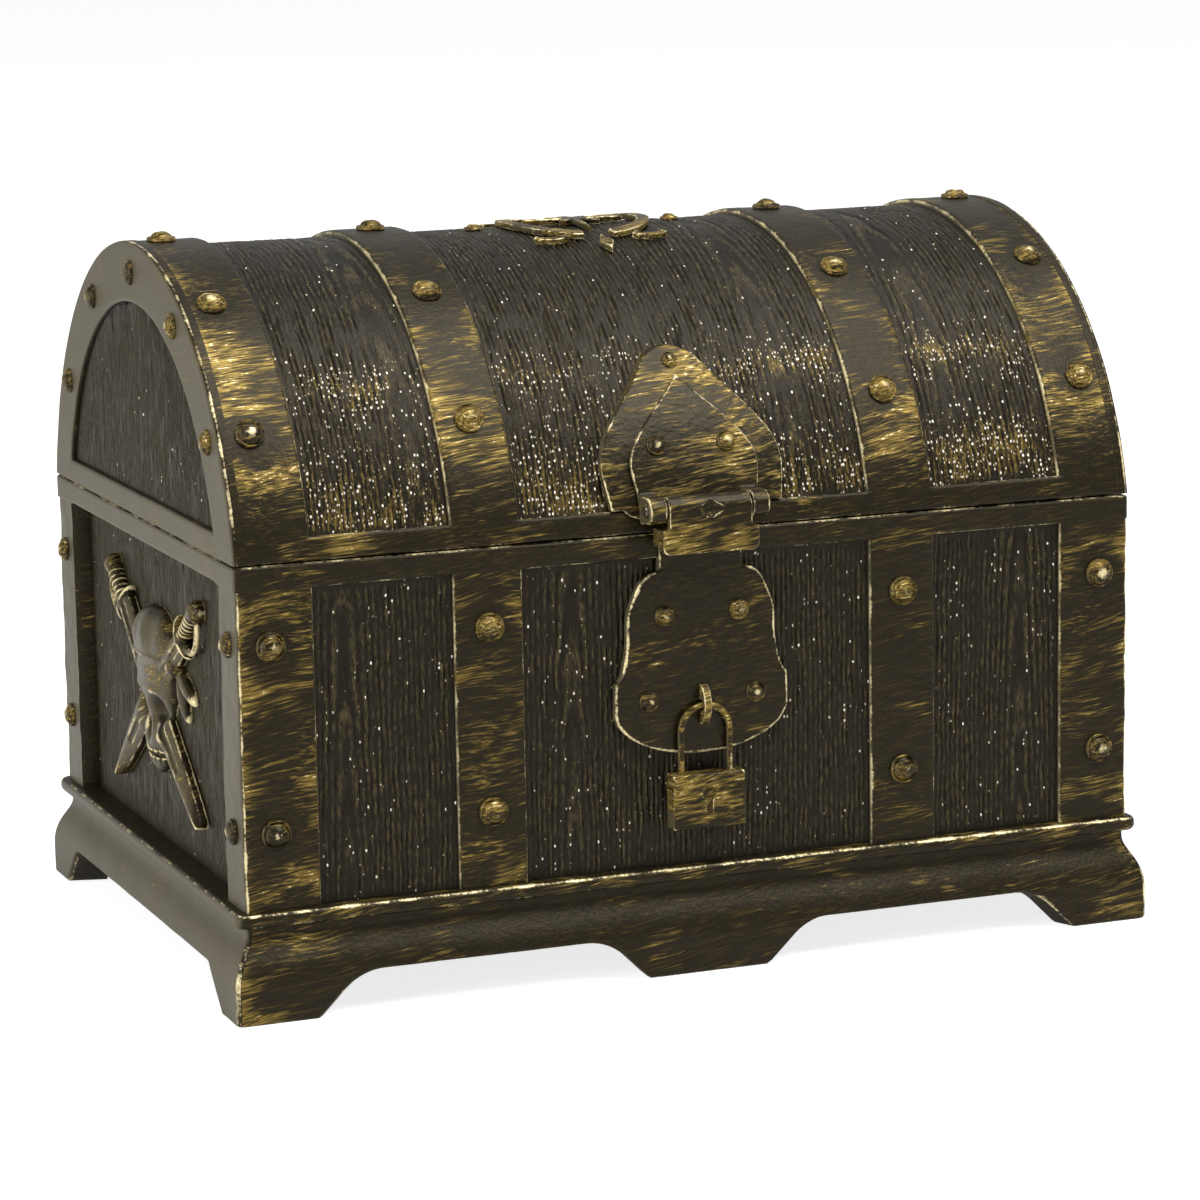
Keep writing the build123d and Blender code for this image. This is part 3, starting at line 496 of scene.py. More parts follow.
def plank_shape(figure, start, seed, brushed, across, along, along_scale=1.0):
    """Grain on a plank, a little lower at its borders, where the mould's corner is soft."""

    def shape(a, b, face):
        height, ridge = grain_height(a, b * along_scale, figure, start, seed)
        reach = np.minimum(a - across[0], across[-1] - a)
        reach = np.minimum(reach, np.minimum(b - along[0], along[-1] - b) * along_scale)
        calm = np.clip(reach / 1.2, 0, 1)
        broad = 0.06 * (noise(face, (7, 7, 7), seed + 5) - 1)
        depth = bpy.context.scene.chest_sizes.grain_depth
        return depth * height * calm + broad, ridge * calm, level(brushed, a, b)

    return shape


def add(tree, kind, *inputs, out=0, **named):
    """Adds a node. Names in small letters are its settings, and the others its inputs, which are set or
    linked; inputs without a name follow the node's order. It gives one output, or all where out is None."""
    new = tree.nodes.new("ShaderNode" + kind)
    for key in filter(str.islower, named):
        setattr(new, key, named[key])
    chosen = dict(enumerate(inputs))
    chosen.update({key.replace("_", " "): named[key] for key in named if not key.islower()})
    for key, value in chosen.items():
        socket = new.inputs[key]
        if isinstance(value, bpy.types.NodeSocket):
            tree.links.new(value, socket)
        elif socket.type == "RGBA" and len(value) == 3:
            socket.default_value = (*value, 1.0)
        else:
            socket.default_value = value
    return new.outputs if out is None else new.outputs[out]


# Settings of nodes: a product, a product with a sum, a smooth step from one value to another and a mix of
# two colours. After them the tint of the plastic's sheen
TIMES = {"operation": "MULTIPLY"}
TIMES_AND_ADD = {"operation": "MULTIPLY_ADD"}
SMOOTH = {"interpolation_type": "SMOOTHSTEP"}
BLEND = {"data_type": "RGBA", "out": 2}
WARM_SHEEN = (1.0, 0.88, 0.66)


def start_material(name):
    """A new material without nodes, and the function that adds them."""
    material = bpy.data.materials.new(name)
    material.use_nodes = True
    material.node_tree.nodes.clear()
    return material, partial(add, material.node_tree)


def stroke_noise(node, where, size, detail):
    """Noise whose spots have a size in millimetres along each axis, spread to run from 0 to 1."""
    point = node("Mapping", Vector=where, Scale=tuple(1 / (s * MM) for s in size))
    value = node("TexNoise", Vector=point, Scale=1.0, Detail=detail, Roughness=0.6)
    return node("MapRange", Value=value, From_Min=0.3, From_Max=0.7)


def chosen_colours(*names):
    """The user's colours of these names, linear."""
    return [tuple(getattr(bpy.context.scene.chest_colours, name)) for name in names]


def shaded(colour, share):
    """A colour, darker or lighter by a share."""
    return tuple(c * share for c in colour)


def end_material(node, colour, roughness, height, depth, strength, **more):
    """The relief, the shader and the output of a material, with more of the shader's inputs."""
    bump = node("Bump", Strength=strength, Distance=depth, Height=height)
    shader = node("BsdfPrincipled", Base_Color=colour, Roughness=roughness, Normal=bump, **more)
    node("OutputMaterial", Surface=shader, out=None)


def stored_parts(node):
    """What the points store, the rubbed share (on the studs' domes partly a painted highlight) and the
    brushed gold, and how much the face looks towards an end.
    """
    rub = node("Attribute", out="Fac", attribute_name="rub")
    brushed = node("Attribute", out="Fac", attribute_name="brushed")
    facing = node("SeparateXYZ", node("NewGeometry", out="Normal"), out="X")
    return rub, brushed, node("Math", facing, operation="ABSOLUTE")


def brushed_material(name, fine_size, broad_size, roughness, pebble, satin_share):
    """Dark plastic moulded in a textured tool, with antique gold paint dragged over it by a nearly dry brush.

    The eye sees semi-gloss brown-black, streaks of gold that run the way the brush went, faint where the
    brush was empty, a thin pale line where edges were rubbed, partly a painted highlight on the studs' domes,
    painted glints of pale gold on the streaks, and an even lighter bronze on faces towards the ends,
    where the brush hardly went, which is partly a painted sheen. The streaks' sizes are in millimetres."""
    plastic, gold, bright, satin = chosen_colours("plastic", "gold", "bright", "satin")
    material, node = start_material(name)
    where = node("TexCoord", out="Object")
    rub, brushed, facing = stored_parts(node)
    # The brush went along the chest on its front, and along the walls on its ends, with a sway
    endwise = node("Math", facing, 0.75, operation="GREATER_THAN")
    turned = node("Mapping", Vector=where, Rotation=(0.0, 0.0, pi / 2))
    way = node("Mix", Factor=endwise, A=where, B=turned, out=1, data_type="VECTOR")
    sway = node("TexNoise", Vector=where, Scale=60.0, Detail=1.0, out=1)
    sway = node("VectorMath", sway, (0.5, 0.5, 0.5), operation="SUBTRACT")
    sway = node("VectorMath", sway, Scale=0.003, operation="SCALE")
    way = node("VectorMath", way, sway, operation="ADD")
    way = node("Mapping", Vector=way, Rotation=(0.0, radians(7), 0.0))
    fine = stroke_noise(node, way, fine_size, 2.0)
    broad = stroke_noise(node, way, broad_size, 3.0)
    patch = stroke_noise(node, where, (13, 13, 8), 1.0)
    tint = stroke_noise(node, where, (0.6, 0.6, 0.6), 2.0)
    bristle = stroke_noise(node, way, (fine_size[0], 0.24, 0.24), 1.0)
    worn = stroke_noise(node, where, (4, 4, 4), 1.0)
    # Streaks show where the strokes are stronger than the paint left on the brush lets them miss
    stroke = node("Math", broad, 0.5, **TIMES)
    stroke = node("Math", fine, 0.5, stroke, **TIMES_AND_ADD)
    amount = node("Math", patch, 0.6, brushed, **TIMES_AND_ADD)
    least = node("Math", 1.06, amount, operation="SUBTRACT")
    most = node("Math", least, 0.55, operation="ADD")
    mask = node("MapRange", stroke, least, most, **SMOOTH)
    line = node("Math", worn, 0.5, rub, **TIMES_AND_ADD)
    line = node("Math", tint, 0.35, line, **TIMES_AND_ADD)
    line = node("MapRange", line, 1.15, 1.6, **SMOOTH)
    # Painted glints: small pale gold specks on the streaks, painted in place of glints of light
    painted_glint = node("Math", tint, bristle, **TIMES)
    painted_glint = node("Math", painted_glint, mask, **TIMES)
    painted_glint = node("MapRange", painted_glint, 0.4, 0.75, **SMOOTH)
    painted = node("Mix", Factor=bristle, A=shaded(gold, 0.1), B=shaded(gold, 1.45), **BLEND)
    dark = node("Mix", Factor=tint, A=shaded(plastic, 0.45), B=shaded(plastic, 1.15), **BLEND)
    faint = node("Math", fine, 0.55, **TIMES)
    faint = node("Math", bristle, 0.45, faint, **TIMES_AND_ADD)
    faint = node("MapRange", faint, 0.45, 1.0, **SMOOTH)
    dark = node("Mix", Factor=faint, A=dark, B=shaded(gold, 0.14), **BLEND)
    # Faces towards the ends take the lighter bronze tone, partly a painted sheen of light glancing off them
    bronze_and_sheen_mix = node("MapRange", facing, 0.6, 0.9, **SMOOTH)
    bronze_and_sheen_mix = node("Math", bronze_and_sheen_mix, satin_share, **TIMES)
    dark = node("Mix", Factor=bronze_and_sheen_mix, A=dark, B=satin, **BLEND)
    colour = node("Mix", Factor=mask, A=dark, B=painted, **BLEND)
    # Rubbed edges and the painted glints take the paler gold
    rub_and_painted_glint = node("Math", line, painted_glint, operation="MAXIMUM")
    colour = node("Mix", Factor=rub_and_painted_glint, A=colour, B=bright, **BLEND)
    paint = node("Math", mask, line, operation="MAXIMUM")
    grit = node("TexNoise", Vector=where, Scale=1 / (pebble * MM), Detail=2.0)
    height = node("Math", paint, 0.5, grit, **TIMES_AND_ADD)
    rough = node("Mix", Factor=paint, A=roughness, B=0.38, data_type="FLOAT")
    metallic = node("Math", paint, 0.4, **TIMES)
    end_material(node, colour, rough, height, 0.0001, 0.8, Metallic=metallic, IOR=1.5,
                 Specular_IOR_Level=0.21, Specular_Tint=WARM_SHEEN)
    return material


def grained_material(name):
    """The same plastic moulded as open-grained oak, with a dry brush drawn across the ridges.

    The eye sees matt brown-black grooves, brown ridges with touches of gold, and pale flecks on the ridges,
    which are painted glints of light. Each is 0.3 mm across."""
    plank, gold, satin = chosen_colours("plank", "gold", "satin")
    material, node = start_material(name)
    where = node("Attribute", out="Vector", attribute_name="surface")
    ridge, brushed, facing = stored_parts(node)
    endwise = node("MapRange", facing, 0.55, 0.8, **SMOOTH)
    fibre = stroke_noise(node, where, (0.28, 1.5, 1.0), 2.0)
    patch = stroke_noise(node, where, (8, 8, 8), 1.0)
    tone = node("Math", ridge, 0.8, 0.2, **TIMES_AND_ADD)
    tone = node("Math", fibre, tone, **TIMES)
    wood = node("MapRange", tone, 0.1, 0.75, **SMOOTH)
    dark = node("Mix", Factor=wood, A=shaded(plank, 0.08), B=shaded(plank, 3.3), **BLEND)
    # End planks take the lighter bronze tone too, partly a painted sheen
    dull = node("Mix", Factor=tone, A=shaded(satin, 0.12), B=shaded(satin, 0.85), **BLEND)
    dark = node("Mix", Factor=endwise, A=dark, B=dull, **BLEND)
    touch = node("Math", ridge, 0.35, **TIMES)
    touch = node("Math", fibre, 0.5, touch, **TIMES_AND_ADD)
    touch = node("Math", patch, 0.25, touch, **TIMES_AND_ADD)
    least = node("Math", brushed, -0.5, 0.84, **TIMES_AND_ADD)
    most = node("Math", least, 0.5, operation="ADD")
    mask = node("MapRange", touch, least, most, **SMOOTH)
    # A painted glint lies in some of the cells, oftener where the brush left more gold, and fades out at its
    # rim
    cells = node("Mapping", Vector=where, Scale=(1 / (0.52 * MM), 1 / (0.85 * MM), 1.0))
    spots = node("TexVoronoi", Vector=cells, Scale=1.0, out=None, voronoi_dimensions="2D")
    chance, other_chance = node("SeparateColor", spots["Color"], out=None)[:2]
    often = node("Math", patch, 1.5, 0.2, **TIMES_AND_ADD)
    often = node("Math", brushed, often, **TIMES)
    on_ridge = node("Math", ridge, 1.0, 0.4, **TIMES_AND_ADD)
    often = node("Math", often, on_ridge, **TIMES)
    chosen = node("Math", chance, often, operation="LESS_THAN")
    reach = node("Math", other_chance, 0.2, 0.16, **TIMES_AND_ADD)
    drop = node("Math", reach, spots["Distance"], operation="SUBTRACT")
    drop = node("MapRange", drop, 0.0, 0.12, **SMOOTH)
    painted_glint_fleck = node("Math", chosen, drop, **TIMES)
    painted_glint_colour = node("Math", other_chance, other_chance, **TIMES)
    painted_glint_colour = node("Mix", Factor=painted_glint_colour, A=shaded(gold, 0.9), B=linear("#fbf6e8"), **BLEND)
    colour = node("Mix", Factor=mask, A=dark, B=shaded(gold, 0.7), **BLEND)
    colour = node("Mix", Factor=painted_glint_fleck, A=colour, B=painted_glint_colour, **BLEND)
    grit = node("TexNoise", Vector=where, Scale=1 / (0.45 * MM), Detail=2.0)
    height = node("Math", fibre, 0.7, node("Math", grit, painted_glint_fleck, operation="ADD"), **TIMES_AND_ADD)
    metallic = node("Math", mask, 0.5, **TIMES)
    end_material(node, colour, 0.46, height, 0.00009, 0.8, Metallic=metallic, IOR=1.5,
                 Specular_IOR_Level=0.24, Specular_Tint=WARM_SHEEN)
    return material


def bare_material(name):
    """Moulded styrene straight from a sanded tool: even, brown-black, a soft sheen and no paint."""
    (plastic,) = chosen_colours("plastic")
    material, node = start_material(name)
    where = node("TexCoord", out="Object")
    grit = node("TexNoise", Vector=where, Scale=1 / (0.5 * MM), Detail=3.0)
    cloud = stroke_noise(node, where, (18, 18, 18), 2.0)
    tone = node("Mix", Factor=cloud, A=shaded(plastic, 0.7), B=plastic, **BLEND)
    end_material(node, tone, 0.45, grit, 0.00006, 0.5, IOR=1.5)
    return material


def wire_material(name):
    """Steel wire drawn through a die: bare metal with fine lines along it."""
    material, node = start_material(name)
    fine = stroke_noise(node, node("TexCoord", out="Object"), (6, 0.2, 0.2), 2.0)
    tone = node("Mix", Factor=fine, A=linear("#8c8880"), B=linear("#b4afa4"), **BLEND)
    end_material(node, tone, 0.35, fine, 0.00002, 0.4, Metallic=1.0)
    return material


def material_named(name):
    """A finish, made the first time that a piece asks for it."""
    if name not in bpy.data.materials:
        MAKERS[name](name)
    return bpy.data.materials[name]


MAKERS = {
    STRAP: partial(brushed_material, fine_size=(5.0, 0.28, 0.28), broad_size=(8.0, 0.8, 0.8),
                   roughness=0.42, pebble=0.7, satin_share=1.0),
    RELIEF: partial(brushed_material, fine_size=(3.5, 0.36, 0.36), broad_size=(6.0, 0.9, 0.9),
                    roughness=0.34, pebble=0.8, satin_share=0.9),
    PLANK: grained_material,
    BARE: bare_material,
    WIRE: wire_material,
}


def soften(source, voxel, passes, brushed, dip, seed, sculpt=None, rubbed=1.0):
    """Remeshes a closed shape in even cells, softens it and stores where it would be rubbed."""
    holder = bpy.data.objects.new("holder", source)
    bpy.context.scene.collection.objects.link(holder)
    even = holder.modifiers.new("Even", "REMESH")
    even.mode = "VOXEL"
    even.voxel_size = voxel * MM
    mesh = bpy.data.meshes.new_from_object(holder.evaluated_get(bpy.context.evaluated_depsgraph_get()))
    bpy.data.objects.remove(holder)
    bpy.data.meshes.remove(source)
    ends = np.zeros(len(mesh.edges) * 2, np.int64)
    mesh.edges.foreach_get("vertices", ends)
    ends = ends.reshape(-1, 2)
    count = np.bincount(ends.ravel(), minlength=len(mesh.vertices))[:, None]

    def around(values):
        """The mean of each point's neighbours."""
        total = np.zeros_like(values)
        np.add.at(total, ends[:, 0], values[ends[:, 1]])
        np.add.at(total, ends[:, 1], values[ends[:, 0]])
        return total / count

    co = points_of(mesh) / MM
    for _ in range(passes):
        co = 0.5 * co + 0.5 * around(co)
    if sculpt is not None:
        co = sculpt(co)
    set_points(mesh, co * MM)
    mesh.update()
    normals = points_of(mesh, "normal")
    convex = -np.sum((around(co) - co) * normals, 1)[:, None] / voxel
    for _ in range(2):
        convex = 0.4 * convex + 0.6 * around(convex)
    co -= normals * (dip * (0.5 + 0.5 * noise(co, (2.6, 2.6, 2.6), seed)))[:, None]
    set_points(mesh, co * MM)
    set_values(mesh, "rub", np.clip(convex[:, 0] * 10.0, 0, 1) * rubbed)
    set_values(mesh, "brushed", np.full(len(co), float(brushed)))
    return mesh


def cast_piece(node_name, body, finish, voxel, passes, brushed, dip, seed, sculpt=None):
    """A casting in place of a CAD node, with its own softened edges and unevenness."""
    source = mesh_from(merged(node_name), "source")
    mesh = soften(source, voxel * COARSER, passes, brushed, dip, seed, sculpt)
    finish_piece(node_name, mesh, body, finish)


class CHEST_OT_inner_shells(bpy.types.Operator):
    """Dresses the tub and the lid's shell, which show when the lid is open, and the pins"""

    bl_idname = "chest.inner_shells"
    bl_label = "Inner Shells"

    def execute(self, context):
        for node_name in ("tub", "lid_shell"):
            paint_node(node_name, material_named(BARE))
        for node_name in ("hinge_pins", "hasp_pin"):
            paint_node(node_name, material_named(WIRE))
        return {"FINISHED"}


def flat_plank(node_name, sides, place, figure, start, seed, brushed):
    """A plank on a wall of the box, between its two sides, with its figure's middle and start."""
    low, high = span(node_name)
    across = lines(*sides, PLANK_CELL)
    along = lines(low[2], high[2], PLANK_STEP)
    shape = plank_shape(figure, low[2] + start, seed, brushed, across, along)
    slab_piece(node_name, "chest", GRAINED, across, along, place, PANEL_THICK, shape)


def figure_at(low, high, share):
    """Where a plank's figure is: a share of its width from its middle."""
    return (low[0] + high[0]) / 2 + share * (high[0] - low[0])


class CHEST_OT_planks(bpy.types.Operator):
    """Grained planks on the front, the back and the ends of the box"""

    bl_idname = "chest.planks"
    bl_label = "Planks"

    def execute(self, context):
        for seed, (face, side) in enumerate(WALLS):
            for number, share in enumerate((-0.28, -0.36, 0.2)):
                node_name = f"{face}_panel_{PARTS[number]}"
                low, high = span(node_name)
                sides, figure = (low[0], high[0]), figure_at(low, high, share)
                flat_plank(node_name, sides, wall_place(side), figure, -12, 10 * seed + number, 0.06)
        for seed, (part, side) in enumerate(ENDS):
            node_name = f"{part}_end_panel"
            sides = [corner[1] - MIDDLE_Y for corner in span(node_name)]
            flat_plank(node_name, sides, end_place(side), -14.0, 20, 40 + seed, END_PLANK_GOLD)
        return {"FINISHED"}


def lid_plank_gold_and_sheen(x, turn):
    """Gold low on the lid's planks, a row of touches above it, and least over the top; the gold low on the
    lid and the row are partly brushed paint and partly a painted sheen of light.
    """
    turn = np.minimum(turn, pi - turn)
    row = 0.42 * np.exp(-(((turn - 0.7) / 0.06) ** 2))
    dense = 0.55 * np.clip((0.5 - turn) / 0.16, 0, 1)
    return 0.03 + dense + row + 0.32 * np.clip((0.84 - turn) / 0.12, 0, 1)


def arched_plank(node_name, side, seed):
    """A plank that fills the arch of one of the lid's ends."""
    low, high = span(node_name)
    half = (high[1] - low[1]) / 2
    radius = high[2] - LID_CENTRE
    across = lines(-1, 1, LID_PLANK_CELL / half)
    along = lines(asin((low[2] - LID_CENTRE) / radius), pi / 2, PLANK_STEP / radius)
    wall = lid_end_place(side)

    def place(share, turn, d):
        return wall(share * radius * np.cos(turn), LID_CENTRE + radius * np.sin(turn), d)

    def shape(share, turn, face):
        height, ridge = grain_height(face[:, 1] - MIDDLE_Y, face[:, 2], 12.0, low[2] + 8, 80 + seed)
        calm = np.clip((1 - np.abs(share)) * half / 1.5, 0, 1) * np.clip((pi / 2 - turn) * 6, 0, 1)
        depth = bpy.context.scene.chest_sizes.grain_depth
        return depth * height * calm, ridge * calm, np.full(len(share), END_PLANK_GOLD)

    mesh = slab(across, along, place, PANEL_THICK, shape)
    set_surface(mesh, points_of(mesh)[:, (1, 2, 0)])
    mend(mesh, 0.00001)
    finish_piece(node_name, mesh, "lid", GRAINED)


class CHEST_OT_lid_planks(bpy.types.Operator):
    """Grained planks bent over the lid, and those in the arches of its ends"""

    bl_idname = "chest.lid_planks"
    bl_label = "Lid Planks"

    def execute(self, context):
        for number, share in enumerate((0.3, 0.32, -0.25)):
            node_name = f"lid_panel_{PARTS[number]}"
            low, high = span(node_name)
            across = lines(low[0], high[0], LID_PLANK_CELL)
            along = lines(RAIL_TURN, pi - RAIL_TURN, LID_PLANK_STEP / LID_RADIUS)
            figure = figure_at(low, high, share)
            shape = plank_shape(figure, -20, 60 + number, lid_plank_gold_and_sheen, across, along, LID_RADIUS)
            slab_piece(node_name, "lid", GRAINED, across, along, barrel_place, PANEL_THICK, shape, LID_RADIUS)
        for seed, (part, side) in enumerate(ENDS):
            arched_plank(f"lid_end_panel_{part}", side, seed)
        return {"FINISHED"}


def post(node_name, side_x, side_y, seed):
    """A corner post, rubbed along its corner, with gold on its front and more of it at the left."""
    sizes = bpy.context.scene.chest_sizes
    low, high = span(node_name)
    arc = CORNER_RADIUS * pi / 4
    far_x, far_y = (high - low)[:2] - CORNER_RADIUS + arc
    gold = 0.36 if side_x < 0 else 0.26
    length = np.concatenate([
        lines(-far_y, -arc, sizes.cell)[:-1], np.linspace(-arc, arc, 9)[:-1],
        lines(arc, far_x, sizes.cell)[:-1],
        far_x - sizes.edge_round * (1 - np.cos(np.linspace(pi / 2, 0, 5))),
    ])
    length = np.unique(np.round(length, 5))

    def brushed(a, z):
        return np.where(a > 0, gold + 0.3 * np.exp(-a / 1.6), 0.0)

    base = strap_shape(length, brushed, seed)

    def shape(a, z, face):
        rise, rub, amount = base(a, z, face)
        corner = 1.2 * np.exp(-np.abs(a - 0.1) / 0.45)
        return rise, np.maximum(np.where(a < 0, 0.3 * rub, rub), corner), amount

    along = lines(low[2], high[2], sizes.cell)
    slab_piece(node_name, "chest", BRUSHED, length, along, post_place(side_x, side_y), FRAME_THICK, shape)


class CHEST_OT_straps(bpy.types.Operator):
    """Corner posts and flat straps of the box"""

    bl_idname = "chest.straps"
    bl_label = "Straps and Posts"

    def execute(self, context):
        sizes = context.scene.chest_sizes
        for row, (face, side_y) in enumerate(WALLS):
            for number, (part, side_x) in enumerate(ENDS):
                seed = 100 + 10 * row + number
                post(f"corner_post_{face}_{part}", side_x, side_y, seed)
                node_name = f"{face}_strap_{part}"
                low, high = span(node_name)
                across = lines(low[0], high[0], sizes.cell, sizes.edge_round)
                along = lines(low[2], high[2], sizes.cell)
                shape = strap_shape(across, 0.26 if side_x < 0 else 0.04, seed + 4)
                slab_piece(node_name, "chest", BRUSHED, across, along, wall_place(side_y), FRAME_THICK, shape)
        return {"FINISHED"}


def band_gold_and_sheen(x, turn):
    """Gold over the shoulders of the lid, partly brushed paint and partly a painted sheen of light there, and
    along the outer edges above them.
    """
    turn = np.minimum(turn, pi - turn)
    edge = np.exp(-(HALF_LENGTH - FRAME_THICK - np.abs(x)) / 1.2) * (turn > 0.8)
    return 0.07 + 0.36 * np.exp(-(((turn - 0.62) / 0.36) ** 2)) + 0.4 * edge


def lid_rail_gold(x, turn):
    """More gold towards the left end."""
    return 0.04 + 0.3 * np.clip(-x / HALF_LENGTH, 0, 1)


def beside_planks(x, names):
    """Which places lie between the sides of one of the planks."""
    return np.any([(x > low[0]) & (x < high[0]) for low, high in map(span, names)], axis=0)


class CHEST_OT_lid_bands(bpy.types.Operator):
    """End bands and straps bent over the lid, and the rails at its foot"""

    bl_idname = "chest.lid_bands"
    bl_label = "Lid Bands"

    def execute(self, context):
        sizes = context.scene.chest_sizes
        along = lines(RAIL_TURN, pi - RAIL_TURN, sizes.cell / LID_RADIUS)
        bands = ("lid_end_band_left", "lid_strap_left", "lid_strap_right", "lid_end_band_right")
        for number, node_name in enumerate(bands):
            low, high = span(node_name)
            across = lines(low[0], high[0], sizes.cell, sizes.edge_round)
            shape = strap_shape(across, band_gold_and_sheen, 140 + number, (number > 0, number < 3))
            slab_piece(node_name, "lid", BRUSHED, across, along, barrel_place, FRAME_THICK, shape)
        for seed, (part, side) in enumerate(WALLS):
            node_name = f"lid_rail_{part}"
            low, high = span(node_name)
            foot = asin((low[2] - LID_CENTRE) / LID_RADIUS)
            across = lines(low[0], high[0], sizes.cell)
            along = lines(foot, RAIL_TURN, RAIL_STEP / LID_RADIUS, sizes.edge_round / LID_RADIUS)

            def near(x, turn, foot=foot):
                beside = beside_planks(x, [f"lid_panel_{plank}" for plank in PARTS])
                upper = np.where(beside, (RAIL_TURN - turn) * LID_RADIUS, FAR)
                return np.minimum((turn - foot) * LID_RADIUS, upper)

            def place(x, turn, d, side=side):
                return barrel_place(x, turn if side < 0 else pi - turn, d)

            shape = border_shape(near, 0.9, lid_rail_gold, 150 + seed)
            slab_piece(node_name, "lid", BRUSHED, across, along, place, FRAME_THICK, shape)
        return {"FINISHED"}


def arch_line(radius, foot, legs, leg_out):
    """Across and up of the points up one leg, over an arch about the barrel's axis and down the other leg."""
    start = asin((foot - LID_CENTRE) / radius)
    turn = start + (pi - 2 * start) * np.linspace(0, 1, ARCH_STEPS)
    across = np.concatenate([-leg_out, -radius * np.cos(turn), leg_out[::-1]])
    return np.stack([across, np.concatenate([legs, LID_CENTRE + radius * np.sin(turn), legs[::-1]])], 1)


class CHEST_OT_lid_ends(bpy.types.Operator):
    """Arched frames on the ends of the lid"""

    bl_idname = "chest.lid_ends"
    bl_label = "Lid Ends"

    def execute(self, context):
        sizes = context.scene.chest_sizes
        half = (END_ARCH_HIGH[1] - END_ARCH_LOW[1]) / 2
        foot = END_ARCH_LOW[2]
        thick = HALF_LENGTH - LID_HALF_LENGTH
        legs = np.linspace(ARCH_LOW[2], foot, 6)[:-1]
        inner = arch_line(END_ARCH_HIGH[2] - LID_CENTRE, foot, legs, np.full(len(legs), half))
        outer = arch_line(LID_RADIUS, foot, legs, np.sqrt(LID_RADIUS**2 - (legs - LID_CENTRE) ** 2))
        stations = np.arange(len(inner)).astype(float)
        arched = (stations >= len(legs)) & (stations < len(legs) + ARCH_STEPS)
        for seed, (part, side) in enumerate(ENDS):
            wall = lid_end_place(side)

            def place(station, out, d):
                index = station.astype(int)
                return wall(*(inner[index] + (outer - inner)[index] * out[:, None]).T, d)

            def shape(station, out, face):
                index = station.astype(int)
                total = np.hypot(*(outer - inner)[index].T)
                near_in = np.where(arched[index], out * total, FAR)
                near_out = (1 - out) * total
                drop = rounding(near_in, sizes.edge_round) + rounding(near_out, ARCH_EDGE_ROUND)
                rub = np.maximum(0.5 * np.exp(-near_in / 0.4), 0.95 * np.exp(-near_out / 0.35))
                return -drop - dents(face, 170 + seed), rub, np.full(len(out), LID_END_GOLD)

            arch = slab(stations, lines(0, 1, 0.07, 0.12, 5), place, thick, shape)
            rail_shape = border_shape(lambda y, z: foot - z, 0.5, LID_END_GOLD, 170 + seed)
            across = lines(-half, half, sizes.cell)
            along = lines(ARCH_LOW[2], foot, RAIL_STEP, sizes.edge_round)
            mesh = joined([arch, slab(across, along, wall, thick, rail_shape)])
            mend(mesh)
            finish_piece(f"lid_end_frame_{part}", mesh, "lid", BRUSHED)
        return {"FINISHED"}


def way_round(cell):
    """The way round the body: where each step starts from, and which way is out."""
    run_x = HALF_LENGTH - CORNER_RADIUS
    run_y = HALF_DEPTH - CORNER_RADIUS
    along_x = np.linspace(-run_x, run_x, round(2 * run_x / cell))
    along_y = np.linspace(-run_y, run_y, round(2 * run_y / cell))
    parts = []
    for start, points in ((-90, [(x, -run_y) for x in along_x]), (0, [(run_x, y) for y in along_y]),
                          (90, [(-x, run_y) for x in along_x]), (180, [(-run_x, -y) for y in along_y])):
        parts += [(x, y, radians(start)) for x, y in points]
        parts += [(*points[-1], radians(start + 15 * step)) for step in range(1, 6)]
    return np.array(parts)


def on_front(way):
    """Which stations of the way round lie on the front or the back."""
    return np.abs(np.sin(way[:, 2])) > 0.99


def ring_piece(name, way, offsets, heights, rub, gold, uneven, seed, nodes=None, mitred=False):
    """A ring round the body. Each station has a closed section of reaches and heights, whose last two points
    lie on the tub, and its share of gold. A mitred ring's corners stay crisp however far out."""
    stations, points = offsets.shape
    inner = np.arange(points) >= points - 2
    flat = np.stack([np.repeat(way[:, 0], points), np.repeat(way[:, 1], points), heights.ravel()], 1)
    dips = uneven * dents(flat, seed, (6, 6, 4)).reshape(stations, points)
    mesh, column, row, _ = grid_mesh(stations + 1, points + 1, False)
    column, row = column % stations, row % points
    core_x, core_y, turn = way[column].T
    offset = (offsets - np.where(inner, 0, dips))[column, row]
    if mitred:
        x = core_x * (1 + offset / (HALF_LENGTH - CORNER_RADIUS)) + CORNER_RADIUS * np.cos(turn)
        y = core_y * (1 + offset / (HALF_DEPTH - CORNER_RADIUS)) + CORNER_RADIUS * np.sin(turn)
    else:
        x = core_x + (CORNER_RADIUS + offset) * np.cos(turn)
        y = core_y + (CORNER_RADIUS + offset) * np.sin(turn)
    tub_x = np.clip(core_x + HALF_LENGTH * np.cos(turn), -TUB_HALF_LENGTH, TUB_HALF_LENGTH)
    tub_y = np.clip(core_y + HALF_DEPTH * np.sin(turn), -TUB_HALF_DEPTH, TUB_HALF_DEPTH)
    x, y = np.where(inner[row], tub_x, x), np.where(inner[row], tub_y, y)
    set_points(mesh, np.stack([x, MIDDLE_Y + y, heights[column, row]], 1) * MM)
    set_values(mesh, "rub", rub[column, row])
    set_values(mesh, "brushed", gold[column])
    mend(mesh)
    finish_piece(name, mesh, "chest", BRUSHED, nodes)


